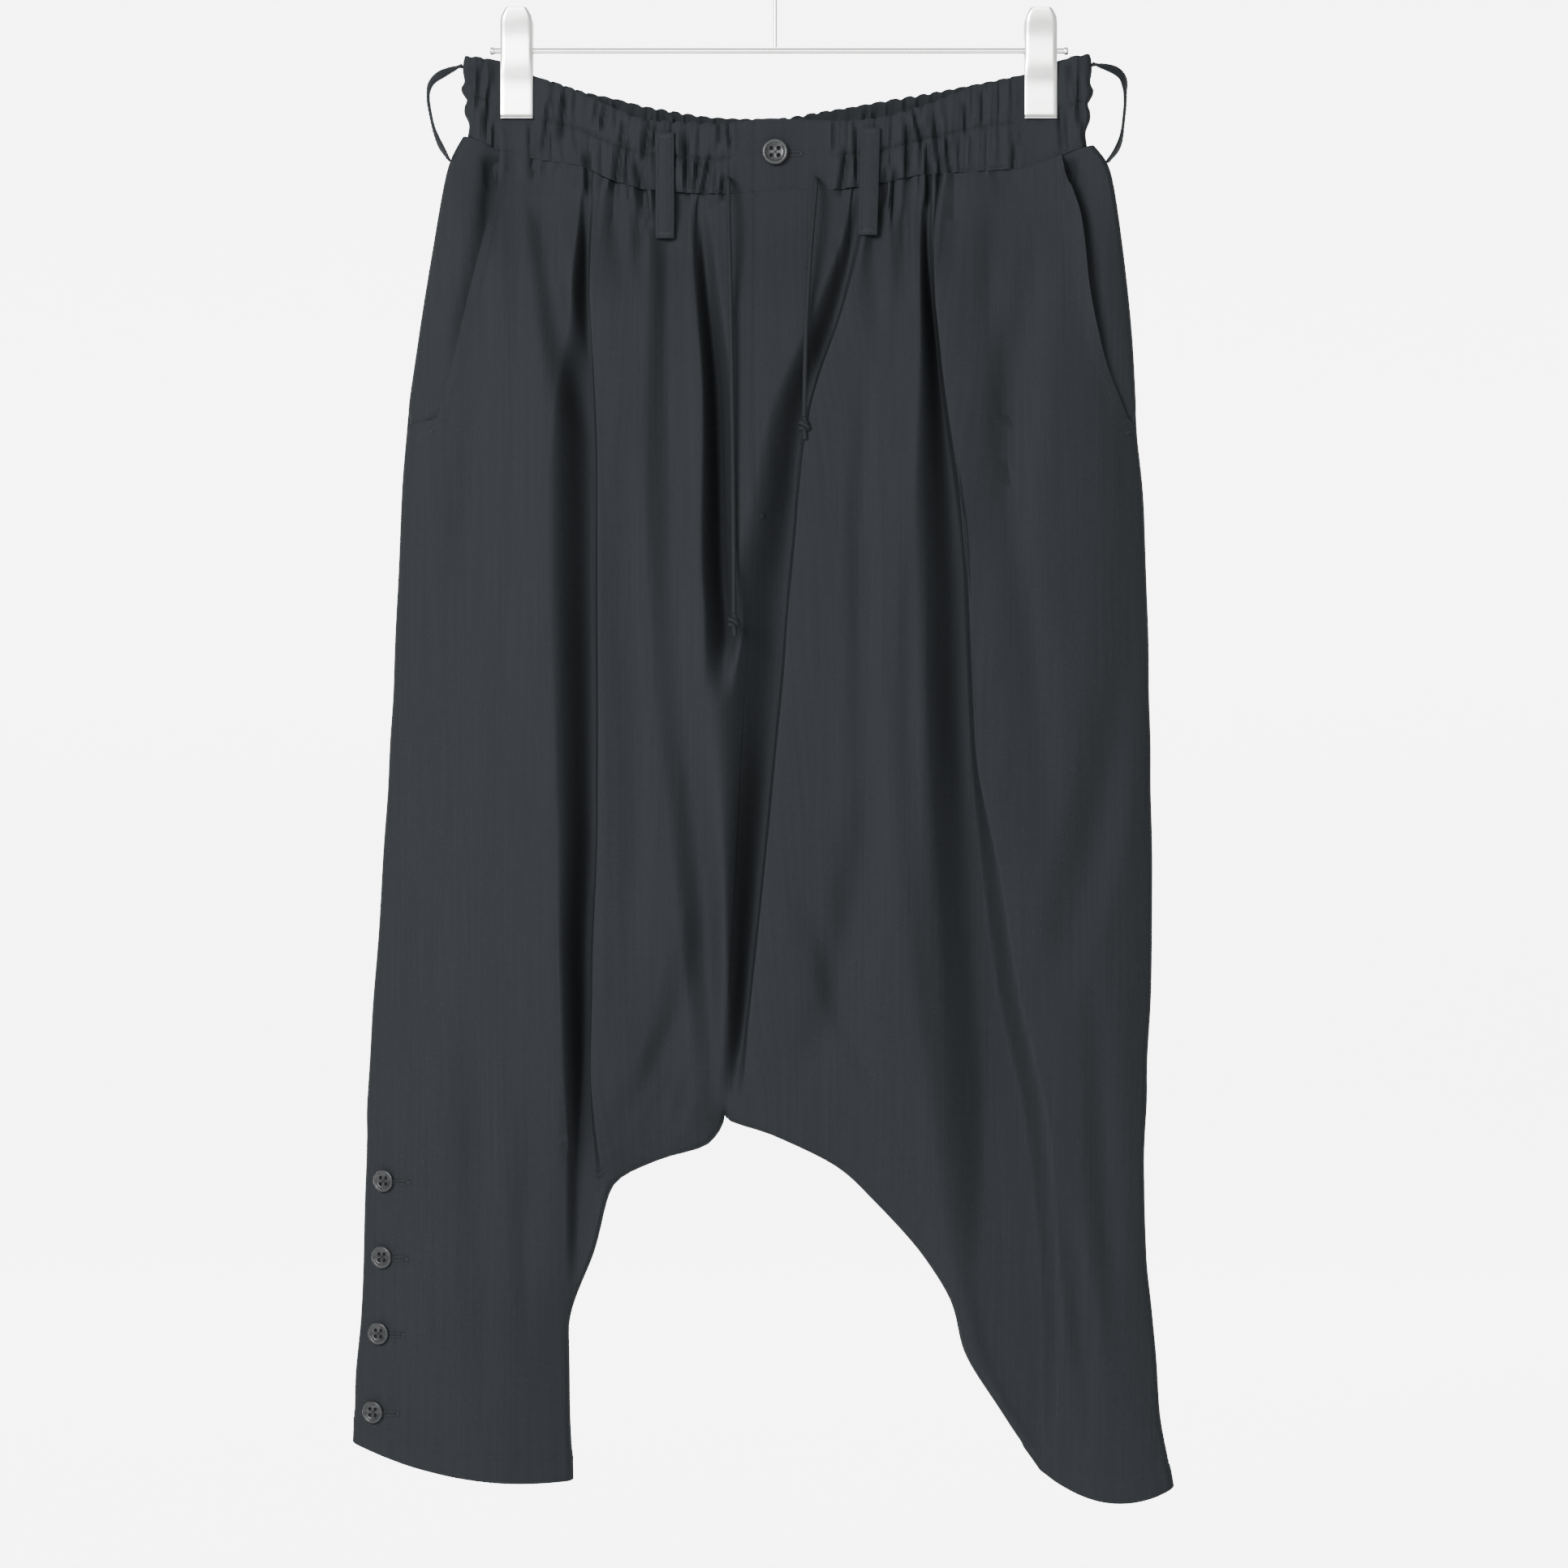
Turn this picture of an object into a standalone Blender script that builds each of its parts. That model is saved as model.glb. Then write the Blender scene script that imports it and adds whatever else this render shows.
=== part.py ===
"""Harem trousers hanging from a two-clip wire hanger.

Wide drop-crotch trousers: two fronts with slant pockets and a fly, two backs, an elastic
waistband gathered in two channels, belt loops, a drawcord that leaves the band beside the
fly, and four buttons up the outside of each ankle. Two spring clips pinch the band flat
near its sides, and the cloth falls from there in deep folds.

The frame: +X is the wearer's left, -Y is the front, +Z is up. The origin is where the
hanger's hook bears on its rail. Sizes are millimetres until a mesh is made in metres, and
a "drop" is a distance down from the hanger's bar.
"""

import math
from collections import namedtuple

import bmesh
import bpy
import numpy as np
from mathutils import Matrix, Vector

MM = 0.001

# The hanger.
BAR_DROP = 105.0  # the bar below the hook's bearing point
BAR_RADIUS = 2.0
BAR_REACH = (-193.5, 199.0)
HOOK_WIRE_RADIUS = 1.5
HOOK_INSIDE_RADIUS = 20.0
CLIP_CENTRES = {"right": -174.9, "left": 179.8}
CLIP_WIDTH = 22.0
CLIP_PLATE = 1.0
SPRING_RADIUS = 5.2

# The cloth.
SEAM_GAP = 0.3
BAND_SEAM_GAP = 0.7
CLOTH = 1.2
BAND_WALL = 2.4
SEAM_ROUND = 6.0  # how the cloth turns at a side seam or an inseam
BAND_ROUND = 5.0
SEAM_EASE = 45.0  # how soon the front and the back swell apart inside a seam
WAIST_EASE = 90.0  # how soon the cloth below the band takes its full depth
VALLEY_FLOOR = 9.0  # no fold reaches nearer to the middle plane than this
BAND_ENDS = (-211.0, 214.0)
FLY_EDGE = -13.0
FLY_FOOT = 317.0
FLY_LAP = 0.9  # each front passes the fly's edge by this
FLY_LIFT = 2.6  # the left front stands this far before the right one
BAND_LIFT = 2.8

# The front and back halves' seams. Each row is one section across a leg panel: where it
# meets the centre seam or the inseam, where it meets the side seam, how far its middle
# sags, and how many rows of the mesh follow it before the next section.
Section = namedtuple("Section", "inner_x inner_drop outer_x outer_drop sag rows")
SECTIONS = {
    "right": [
        Section(-13, 97, -211.5, 58, 0, 1),
        Section(-13, 112, -221, 77, 0, 2),
        Section(-13, 150, -233, 140, 0, 2),
        Section(-13, 205, -242.5, 200, 0, 1),
        Section(-13, 256, -250, 256, 0, 2),
        Section(-13, 317, -254, 317, 0, 2),
        Section(-20, 440, -259.5, 440, 0, 3),
        Section(-28, 590, -268, 580, 0, 2),
        Section(-34, 700, -275, 680, 0, 1),
        Section(-34, 721.5, -276, 702, 0, 1),
        Section(-45, 741, -277, 724, 0, 1),
        Section(-79, 752, -277, 745, 0, 1),
        Section(-109, 768.5, -277.5, 766, 0, 1),
        Section(-122, 812.5, -278.5, 808, 0, 1),
        Section(-139.5, 867.5, -281, 862, 1, 1),
        Section(-138.5, 920, -284.5, 904, 4, 1),
        Section(-137, 967.5, -285.5, 941.5, 9, 0),
    ],
    "left": [
        Section(-13, 97, 216, 63, 0, 1),
        Section(-13, 112, 226.5, 79, 0, 2),
        Section(-13, 150, 236.5, 140, 0, 2),
        Section(-13, 205, 242.5, 200, 0, 1),
        Section(-13, 256, 245.5, 256, 0, 2),
        Section(-13, 317, 250.5, 317, 0, 2),
        Section(-20, 440, 254, 440, 0, 3),
        Section(-28, 590, 256, 590, 0, 2),
        Section(-34, 700, 252.5, 690, 0, 1),
        Section(-34, 721.5, 252, 712, 0, 1),
        Section(-1, 735.5, 251, 735, 0, 1),
        Section(43, 757.5, 250.5, 757, 0, 1),
        Section(67, 779.5, 250.5, 780, 0, 1),
        Section(101, 818, 252, 818, 0, 1),
        Section(120, 851, 255.5, 850, 0, 1),
        Section(127, 878.5, 258, 880, 2, 1),
        Section(153, 922.5, 261.5, 925, 7, 1),
        Section(179.5, 961, 270, 972, 15, 0),
    ],
}
CROTCH = 9  # the section where the four panels meet
POCKET_FOOT = 4  # the section where the pocket mouths end

# The slant of each pocket mouth, from the waist seam to the side seam.
Mouth = namedtuple("Mouth", "drop x")
POCKET_MOUTHS = {
    "right": [Mouth(68, -186), Mouth(125, -195), Mouth(196, -212), Mouth(255, -228.5)],
    "left": [Mouth(68, 193.5), Mouth(118, 206), Mouth(160, 209), Mouth(203, 219), Mouth(255, 240)],
}
FACING_UNDERLAP = 9.0
FACING_STEP = 2.1

# The waistband across the body: the drops of its edges, and its half depth.
Waist = namedtuple("Waist", "x front_top back_top front_seam back_seam depth")
WAIST = [
    Waist(-214, 4, 4, 57, 57, 7.0),
    Waist(-200, 5, 5, 61, 61, 6.5),
    Waist(-187, 7, 7, 67, 66, 3.2),
    Waist(-162, 18, 17, 73, 70, 3.2),
    Waist(-133, 28, 26, 78, 74, 6.0),
    Waist(-108, 40, 31, 89, 79, 8.5),
    Waist(-84, 49, 37, 95, 85, 10.5),
    Waist(-40, 51, 43, 98, 91, 12.5),
    Waist(0, 48, 44, 96, 92, 13.0),
    Waist(38, 49, 38, 95, 86, 12.5),
    Waist(69, 47, 33, 91, 81, 11.0),
    Waist(97, 40, 29, 85, 77, 9.0),
    Waist(133, 25, 22, 82, 75, 6.0),
    Waist(167, 17, 16, 79, 73, 3.2),
    Waist(192, 7, 7, 71, 69, 3.2),
    Waist(204, 4, 4, 67, 67, 6.5),
    Waist(218, 2, 2, 63, 63, 7.0),
]
# The band's levels from its top edge to its foot: how much each shares in the swell of the
# two elastic channels, and in the gathers.
Level = namedtuple("Level", "share swell gather")
BAND_LEVELS = [
    Level(0.0, 0.0, 0.6), Level(0.25, 1.0, 1.0), Level(0.5, 0.0, 0.45), Level(0.75, 1.0, 1.0),
    Level(1.0, 0.0, 0.6),
]
BAND_PUFF = 0.8
GATHER_DEPTH = 1.3
GATHER_PITCH = 9.2
BAND_COLUMNS = 130
FLAT_FRONT = (-29.0, 40.0)  # where the front band has no elastic
PLAIN_ZONES = ((-192.0, -157.0), (163.0, 197.0))  # where the clips press it flat

# How deep the body hangs before its folds, in front of the middle plane and behind it.
Bulk = namedtuple("Bulk", "drop front back")
BULK = [
    Bulk(60, 20, 18),
    Bulk(150, 33, 30),
    Bulk(280, 41, 36),
    Bulk(450, 43, 38),
    Bulk(640, 41, 37),
    Bulk(760, 37, 34),
    Bulk(980, 31, 29),
]

# The folds. Each has stations down its length: where its floor lies, how far its left and
# right slopes reach, and its depth. Its crest on the steep side leans over the floor.
Station = namedtuple("Station", "drop x left right depth")
Fold = namedtuple("Fold", "lean roll stations")
FRONT_FOLDS = {
    "outer_right": Fold(5, 3, [
        Station(76, -126, 5, 5, 0), Station(100, -126, 6, 6, 6), Station(150, -125, 11, 7, 17),
        Station(295, -121, 30, 9, 34), Station(515, -121, 24, 9, 36), Station(680, -127, 16, 12, 33),
        Station(775, -125, 12, 22, 28), Station(880, -135, 10, 16, 0),
    ]),
    "outer_left": Fold(6, 4, [
        Station(80, 104, 5, 5, 0), Station(105, 104, 6, 6, 6), Station(213, 112, 16, 8, 24),
        Station(350, 126, 30, 9, 34), Station(460, 131, 34, 9, 36), Station(625, 147, 50, 10, 38),
        Station(735, 165, 60, 11, 37), Station(845, 172, 52, 10, 32), Station(925, 174, 34, 9, 16),
        Station(975, 175, 22, 9, 0),
    ]),
    "beside_fly": Fold(0, 0, [
        Station(92, -52, 6, 6, 0), Station(158, -46, 9, 9, 15), Station(240, -38, 11, 10, 24),
        Station(350, -35, 15, 12, 30), Station(450, -26, 20, 17, 34), Station(560, -24, 18, 15, 32),
        Station(640, -30, 13, 10, 18), Station(710, -36, 9, 8, 0),
    ]),
    "fly_lip": Fold(5, 3, [
        Station(95, 58, 6, 6, 0), Station(130, 54, 10, 7, 9), Station(170, 46, 17, 7, 15),
        Station(251, 21, 26, 8, 19), Station(323, 13, 28, 8, 23), Station(450, 2, 26, 8, 30),
        Station(543, -13, 20, 8, 30), Station(650, -24, 13, 8, 20), Station(715, -33, 8, 7, 0),
    ]),
    "hip_vee": Fold(0, 0, [
        Station(70, -162, 9, 9, 0), Station(130, -155, 14, 13, 8), Station(202, -142, 18, 15, 11),
        Station(265, -130, 18, 14, 0),
    ]),
    "under_loop": Fold(0, 0, [
        Station(95, -77, 8, 8, 0), Station(150, -72, 13, 13, 9), Station(300, -70, 19, 19, 9),
        Station(420, -65, 19, 19, 5), Station(520, -53, 19, 18, 8), Station(620, -45, 17, 15, 12),
        Station(715, -42, 12, 12, 0),
    ]),
    "hip_dent": Fold(0, 0, [
        Station(170, -193, 22, 22, 0), Station(300, -203, 27, 27, 8), Station(480, -217, 27, 27, 0),
    ]),
    "crotch_crease": Fold(0, 0, [
        Station(575, -46, 16, 16, 0), Station(660, -65, 21, 19, 8), Station(745, -82, 18, 18, 0),
    ]),
    "left_hip_dent": Fold(0, 0, [
        Station(120, 176, 18, 18, 0), Station(250, 160, 24, 22, 8), Station(375, 151, 22, 22, 0),
    ]),
    "left_thigh_dent": Fold(0, 0, [
        Station(400, 238, 24, 20, 0), Station(530, 215, 29, 26, 7), Station(660, 182, 26, 22, 0),
    ]),
    "inner_thigh_dent": Fold(0, 0, [
        Station(490, 66, 20, 20, 0), Station(610, 48, 25, 25, 8), Station(700, 24, 20, 20, 0),
    ]),
    "right_gather_1": Fold(0, 0, [
        Station(84, -108, 7, 7, 4), Station(110, -106, 7, 7, 5), Station(170, -100, 8, 8, 0),
    ]),
    "right_gather_2": Fold(0, 0, [
        Station(88, -93, 7, 7, 4), Station(115, -93, 7, 7, 5), Station(160, -92, 8, 8, 0),
    ]),
    "right_gather_3": Fold(0, 0, [
        Station(92, -64, 7, 7, 4), Station(115, -64, 7, 7, 4), Station(150, -62, 8, 8, 0),
    ]),
    "left_gather_1": Fold(0, 0, [
        Station(86, 72, 7, 7, 4), Station(120, 71, 7, 7, 6), Station(200, 68, 9, 9, 0),
    ]),
    "left_gather_2": Fold(0, 0, [
        Station(84, 88, 7, 7, 4), Station(115, 87, 7, 7, 5), Station(185, 86, 9, 9, 0),
    ]),
    "left_gather_3": Fold(0, 0, [
        Station(78, 121, 7, 7, 3), Station(110, 122, 7, 7, 4), Station(170, 124, 9, 9, 0),
    ]),
}
BACK_FOLDS = {
    "outer_right": Fold(4, 3, [
        Station(76, -150, 6, 6, 0), Station(150, -150, 17, 9, 15), Station(400, -147, 27, 10, 30),
        Station(640, -152, 23, 11, 27), Station(800, -172, 15, 12, 14), Station(930, -180, 14, 14, 0),
    ]),
    "inner_right": Fold(-4, 3, [
        Station(82, -66, 6, 6, 0), Station(150, -62, 9, 18, 14), Station(400, -54, 10, 30, 30),
        Station(600, -48, 11, 26, 26), Station(720, -44, 10, 18, 0),
    ]),
    "inner_left": Fold(4, 3, [
        Station(82, 42, 6, 6, 0), Station(160, 44, 19, 9, 15), Station(420, 42, 28, 10, 30),
        Station(600, 26, 24, 10, 24), Station(725, 2, 14, 10, 0),
    ]),
    "outer_left": Fold(-4, 3, [
        Station(76, 146, 6, 6, 0), Station(160, 156, 9, 19, 17), Station(400, 172, 10, 30, 30),
        Station(640, 186, 11, 36, 30), Station(800, 200, 11, 30, 20), Station(940, 212, 10, 20, 0),
    ]),
    "middle": Fold(0, 0, [
        Station(95, -12, 9, 9, 0), Station(200, -10, 16, 16, 9), Station(420, -6, 20, 20, 9),
        Station(610, -18, 18, 18, 0),
    ]),
    "right_dent": Fold(0, 0, [
        Station(150, -196, 18, 18, 0), Station(330, -208, 24, 24, 8), Station(560, -214, 24, 24, 0),
    ]),
    "left_dent": Fold(0, 0, [
        Station(180, 100, 18, 18, 0), Station(360, 104, 24, 24, 8), Station(600, 118, 26, 26, 0),
    ]),
}

# The two deep folds that each panel's mesh follows, from the middle outwards, and how many
# columns it has from the middle to the first place on a fold, and so on to the side.
Pleats = namedtuple("Pleats", "folds columns")
PANEL_PLEATS = {
    ("front", "right"): Pleats(("beside_fly", "outer_right"), (2, 3, 3, 6, 2, 3, 4, 7)),
    ("front", "left"): Pleats(("fly_lip", "outer_left"), (2, 4, 3, 2, 4, 5, 3, 2, 6)),
    ("back", "right"): Pleats(("inner_right", "outer_right"), (2, 2, 3, 1, 2, 1, 2, 2, 4)),
    ("back", "left"): Pleats(("inner_left", "outer_left"), (2, 3, 2, 1, 2, 1, 2, 3, 4)),
}
TROUGH_FLOOR = 0.28  # the share of a deep fold's width that is flat at its foot
CREST_REACH = 7.0  # how far beyond a fold's steep side its crest ends
LEAST_COLUMN = 0.006  # the narrowest column, as a share of the panel
FOLLOW_BEYOND = 60.0  # how far past a fold's ends the columns still follow its line
WALL_SIGN = {"front": -1.0, "back": 1.0}
SIDE_SIGN = {"right": -1.0, "left": 1.0}

# Belt loops, buttons and drawcords.
LOOP_WIDTH = 12.6
LOOP_THICKNESS = 1.8
FRONT_LOOPS = {"right": (-74.3, 58.0, 129.0), "left": (64.5, 54.5, 127.5)}  # x, top and foot
LOOP_STAND_OFF = 0.8
WAIST_BUTTON = {"x": 0.0, "drop": 71.0, "radius": 8.8}
ANKLE_BUTTON_RADIUS = 7.5
ANKLE_BUTTON_DROPS = (764.0, 815.5, 867.0, 920.0)
ANKLE_BUTTON_INSET = 14.5  # from the side seam to a button's middle
BUTTON_THICKNESS = 2.6
CORD_RADIUS = 1.5
CORD_CLEARANCE = 0.7  # its end stands off the sloping face of the band
Route = namedtuple("Route", "x y drop")  # no y: where it comes out through the waistband
CORD_ROUTES = {
    "right": [
        Route(-31.5, None, 89), Route(-31.6, -19.5, 95), Route(-31, -28, 120), Route(-30, -38, 160),
        Route(-29, -43.5, 215), Route(-28, -45, 280), Route(-27.5, -45, 340), Route(-27.3, -45, 383),
    ],
    "left": [
        Route(27.5, None, 89), Route(27.2, -20.5, 96.5), Route(25, -30, 124), Route(22.5, -38, 158),
        Route(20.5, -42.5, 200), Route(19.5, -44, 252),
    ],
}
KNOT_SIZE = (8.5, 7.5, 15.0)


# ---------------------------------------------------------------- curves and meshes


def through(knots, values, at):
    """A smooth curve through the values at the knots that never overshoots them."""
    knots = np.asarray(knots, float)
    values = np.asarray(values, float)
    step = np.diff(knots)
    slope = np.diff(values) / step
    tangent = np.zeros_like(values)
    tangent[0], tangent[-1] = slope[0], slope[-1]
    product = slope[:-1] * slope[1:]
    total = slope[:-1] + slope[1:]
    rising = product > 0
    tangent[1:-1][rising] = 2 * product[rising] / total[rising]
    at = np.clip(np.asarray(at, float), knots[0], knots[-1])
    i = np.clip(np.searchsorted(knots, at, side="right") - 1, 0, len(step) - 1)
    t = (at - knots[i]) / step[i]
    start, end = values[i], values[i + 1]
    out, back = tangent[i] * step[i], tangent[i + 1] * step[i]
    return (
        start * (1 + 2 * t) * (1 - t) ** 2
        + out * t * (1 - t) ** 2
        + end * t**2 * (3 - 2 * t)
        - back * t**2 * (1 - t)
    )


def smooth_step(t):
    t = np.clip(t, 0.0, 1.0)
    return t * t * (3 - 2 * t)


def quarter_round(distance, radius):
    """0 at an edge, rising as a quarter circle to 1 at the radius."""
    t = 1 - np.clip(distance / radius, 0.0, 1.0)
    return np.sqrt(np.maximum(1 - t * t, 0.0))


def distance_to_line(line, x, drop):
    """How far each point lies from a line of joined segments."""
    start, run = line[:-1], np.diff(line, axis=0)
    px = x[..., None] - start[:, 0]
    pd = drop[..., None] - start[:, 1]
    length = (run**2).sum(axis=1)
    t = np.clip((px * run[:, 0] + pd * run[:, 1]) / length, 0.0, 1.0)
    return np.hypot(px - t * run[:, 0], pd - t * run[:, 1]).min(axis=-1)


def in_metres(x, y, drop):
    return np.stack([x, y, -(np.asarray(drop) + BAR_DROP)], axis=-1) * MM


def unit(vectors):
    return vectors / np.maximum(np.linalg.norm(vectors, axis=-1, keepdims=True), 1e-12)


PARTS = {}


def material(name, colour, roughness, metallic=0.0):
    made = bpy.data.materials.new(name)
    made.use_nodes = True
    shader = made.node_tree.nodes["Principled BSDF"]
    shader.inputs["Base Color"].default_value = (*colour, 1.0)
    shader.inputs["Roughness"].default_value = roughness
    shader.inputs["Metallic"].default_value = metallic
    made.diffuse_color = (*colour, 1.0)
    return made


def add_object(name, data, finish, smooth=True):
    obj = bpy.data.objects.new(name, data)
    data.materials.append(finish)
    PARTS["collection"].objects.link(obj)
    if smooth and isinstance(data, bpy.types.Mesh):
        data.shade_smooth()
        data.set_sharp_from_angle(angle=math.radians(45))
    return obj


def finished_mesh(name, bm):
    """The bmesh as a mesh whose faces point out."""
    bmesh.ops.recalc_face_normals(bm, faces=bm.faces[:])
    if bm.calc_volume(signed=True) < 0:
        bmesh.ops.reverse_faces(bm, faces=bm.faces[:])
    mesh = bpy.data.meshes.new(name)
    bm.to_mesh(mesh)
    bm.free()
    return mesh


def add_wall(name, outer, inner, finish):
    """A wall between two grids of points: the outer face, the inner face and their rims."""
    rows, columns = outer.shape[0] - 1, outer.shape[1] - 1
    bm = bmesh.new()
    bmesh.ops.create_grid(bm, x_segments=columns, y_segments=rows, size=1.0)
    grown = bmesh.ops.extrude_face_region(bm, geom=bm.faces[:])
    lifted = {e for e in grown["geom"] if isinstance(e, bmesh.types.BMVert)}
    for vert in bm.verts:
        j = round((vert.co.x + 1) / 2 * columns)
        i = round((vert.co.y + 1) / 2 * rows)
        vert.co = Vector(inner[i, j] if vert in lifted else outer[i, j])
    return add_object(name, finished_mesh(name, bm), finish)


# ---------------------------------------------------------------- the waistband's lines


def waist(x, column):
    return through([w.x for w in WAIST], [getattr(w, column) for w in WAIST], x)


def gathering(x, wall):
    """1 where the elastic gathers the band, 0 where it is flat or pressed flat."""
    ease = 8.0
    amount = np.ones_like(x)
    for low, high in PLAIN_ZONES + ((FLAT_FRONT,) if wall == "front" else ()):
        amount *= 1 - smooth_step((x - low + ease / 2) / ease) * smooth_step((high + ease / 2 - x) / ease)
    return amount


def band_waves(x, wall):
    """The gathers along the band, uneven in pitch and height."""
    drift = 0.9 * np.sin(x / 23.0) + 0.6 * np.sin(x / 9.7 + 1.3)
    turn = 2 * math.pi * x / GATHER_PITCH + drift + (0.0 if wall == "front" else 2.1)
    height = 0.72 + 0.28 * np.sin(x / 13.0 + 0.7)
    return GATHER_DEPTH * height * gathering(x, wall) * (0.5 + 0.5 * np.cos(turn))


# ---------------------------------------------------------------- the cloth's surface


class Half:
    """One half of the trousers, from the centre seam and inseam out to the side seam."""

    def __init__(self, side):
        self.side = side
        self.sign = SIDE_SIGN[side]
        self.table = np.array([s[:5] for s in SECTIONS[side]], float)
        self.last = len(self.table) - 1
        v = np.linspace(0, self.last, 40 * self.last + 1)
        outer = np.stack(self.flat(np.ones_like(v), v, "front"), axis=1)
        top = [[BAND_ENDS[0 if side == "right" else 1], -10.0]]
        self.side_line = np.concatenate([top, outer, [2 * outer[-1] - outer[-80]]])
        below = v[v >= CROTCH]
        inner = np.stack(self.flat(np.zeros_like(below), below, "front"), axis=1)
        self.inseam_line = np.concatenate([inner, [2 * inner[-1] - inner[-80]]])

    def along(self, column, v):
        return through(range(self.last + 1), self.table[:, Section._fields.index(column)], v)

    def flat(self, u, v, wall):
        """Where a point lies as seen from the front: u across, v down the sections."""
        inner_x, inner_drop = self.along("inner_x", v), self.along("inner_drop", v)
        outer_x, outer_drop = self.along("outer_x", v), self.along("outer_drop", v)
        inner_x = inner_x + self.sign * SEAM_GAP / 2
        if wall == "front":
            lap = smooth_step((FLY_FOOT - 32 - inner_drop) / 20)
            inner_x = inner_x - self.sign * FLY_LAP * lap
        x = inner_x + (outer_x - inner_x) * u
        drop = inner_drop + (outer_drop - inner_drop) * u + self.along("sag", v) * 4 * u * (1 - u)
        top = self.table[0]
        straight = top[1] + (top[3] - top[1]) * u
        seam = waist(x, f"{wall}_seam") + BAND_SEAM_GAP
        return x, drop + (seam - straight) * np.clip(1 - v / 3, 0, 1) ** 2

    def clearances(self, u, v, x, drop, wall):
        """Distances to the side seam and to the inseam, exactly 0 on the seams themselves."""
        to_side = distance_to_line(self.side_line, x, drop)
        on_side = distance_to_line(self.side_line, *self.flat(np.ones_like(u), v, wall))
        to_inseam = distance_to_line(self.inseam_line, x, drop)
        on_inseam = distance_to_line(self.inseam_line, *self.flat(np.zeros_like(u), v, wall))
        on_inseam = np.where(v >= CROTCH, on_inseam, 0.0)
        return np.maximum(to_side - on_side, 0), np.maximum(to_inseam - on_inseam, 0)

    def surface(self, u, v, wall):
        """The cloth's outer face, in millimetres as x, y and drop."""
        u, v = np.broadcast_arrays(np.asarray(u, float), np.asarray(v, float))
        x, drop = self.flat(u, v, wall)
        to_side, to_inseam = self.clearances(u, v, x, drop, wall)
        bulk = through([b.drop for b in BULK], [getattr(b, wall) for b in BULK], drop)
        swell = (1 - np.exp(-to_side / SEAM_EASE)) * (1 - np.exp(-to_inseam / SEAM_EASE))
        edge = quarter_round(to_side, SEAM_ROUND) * quarter_round(to_inseam, SEAM_ROUND)
        body = SEAM_ROUND * edge + (bulk - SEAM_ROUND) * swell
        band = (waist(x, "depth") - 0.6) * quarter_round(to_side, BAND_ROUND)
        below_band = smooth_step((drop - waist(x, f"{wall}_seam")) / WAIST_EASE)
        depth = band + (body - band) * below_band
        hold = (1 - np.exp(-((to_side / 15) ** 2))) * (1 - np.exp(-((to_inseam / 12) ** 2)))
        pushed, sunk = fold_shift(FRONT_FOLDS if wall == "front" else BACK_FOLDS, x, drop)
        floor = np.minimum(depth, VALLEY_FLOOR)
        folded = depth - sunk * hold
        blend = 0.5 * floor
        depth = 0.5 * (folded + floor + np.sqrt((folded - floor) ** 2 + blend**2)) - blend / 8
        if wall == "front" and self.side == "left":
            near_edge = smooth_step(1 - (x - FLY_EDGE) / 28)
            depth = depth + FLY_LIFT * near_edge * smooth_step((FLY_FOOT - drop) / 26)
        y = WALL_SIGN[wall] * (SEAM_GAP / 2 + depth)
        return np.stack([x + pushed * hold, y, drop], axis=-1)

    def fold_places(self, fold, v, wall):
        """The values of u where section v crosses a fold's sides, floor and crest."""
        u = np.linspace(0, 1, 401)
        x, drop = self.flat(u, np.full_like(u, v), wall)
        off = self.sign * (x - fold_value(fold, "x", drop))
        near, far = ("left", "right") if self.sign > 0 else ("right", "left")
        turns = [(-1, near, 0.0), (1, far, 0.0)]
        if fold.lean:
            crest_way = 1 if fold.lean * self.sign > 0 else -1
            turns.append((crest_way, far if crest_way > 0 else near, CREST_REACH))
        found = [np.interp(0.0, off, u)]
        for way, reach, extra in turns:
            found.append(np.interp(0.0, off - way * (fold_value(fold, reach, drop) + extra), u))
        middle = np.interp(found[0], u, drop)
        beyond = max(fold.stations[0].drop - middle, middle - fold.stations[-1].drop, 0.0)
        return np.sort(found), float(smooth_step(1 - beyond / FOLLOW_BEYOND))

    def spread(self, v, wall, end=1.0):
        """The values of u for the mesh's columns at section v, which follow the folds."""
        pleats = PANEL_PLEATS[wall, self.side]
        counts = np.array(pleats.columns)
        even = end * np.concatenate([[0], np.cumsum(counts)]) / counts.sum()
        folds = FRONT_FOLDS if wall == "front" else BACK_FOLDS
        (first, first_held), (second, second_held) = (
            self.fold_places(folds[name], v, wall) for name in pleats.folds
        )
        split = 1 + len(first)
        start_of_second = even[split] + (min(second[0], end) - even[split]) * second_held
        free_first = even[1:split] * start_of_second / even[split]
        first = free_first + (np.minimum(first, end) - free_first) * first_held
        share = (even[split:-1] - even[split - 1]) / (end - even[split - 1])
        free_second = first[-1] + (end - first[-1]) * share
        second = free_second + (np.minimum(second, end) - free_second) * second_held
        places = np.concatenate([[0.0], first, second, [end]])
        for k in range(1, len(places)):
            places[k] = max(places[k], places[k - 1] + LEAST_COLUMN * counts[k - 1])
        places[-1] = end
        for k in range(len(places) - 2, 0, -1):
            places[k] = min(places[k], places[k + 1] - LEAST_COLUMN * counts[k])
        columns = [np.array([0.0])]
        for k, count in enumerate(counts):
            t = np.linspace(0, 1, count + 1)[1:]
            if k == 0:
                t = t ** (1 + smooth_step(v - CROTCH + 1))
            if k == len(counts) - 1:
                t = 1 - (1 - t) ** 2
            columns.append(places[k] + (places[k + 1] - places[k]) * t)
        return np.concatenate(columns)

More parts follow.
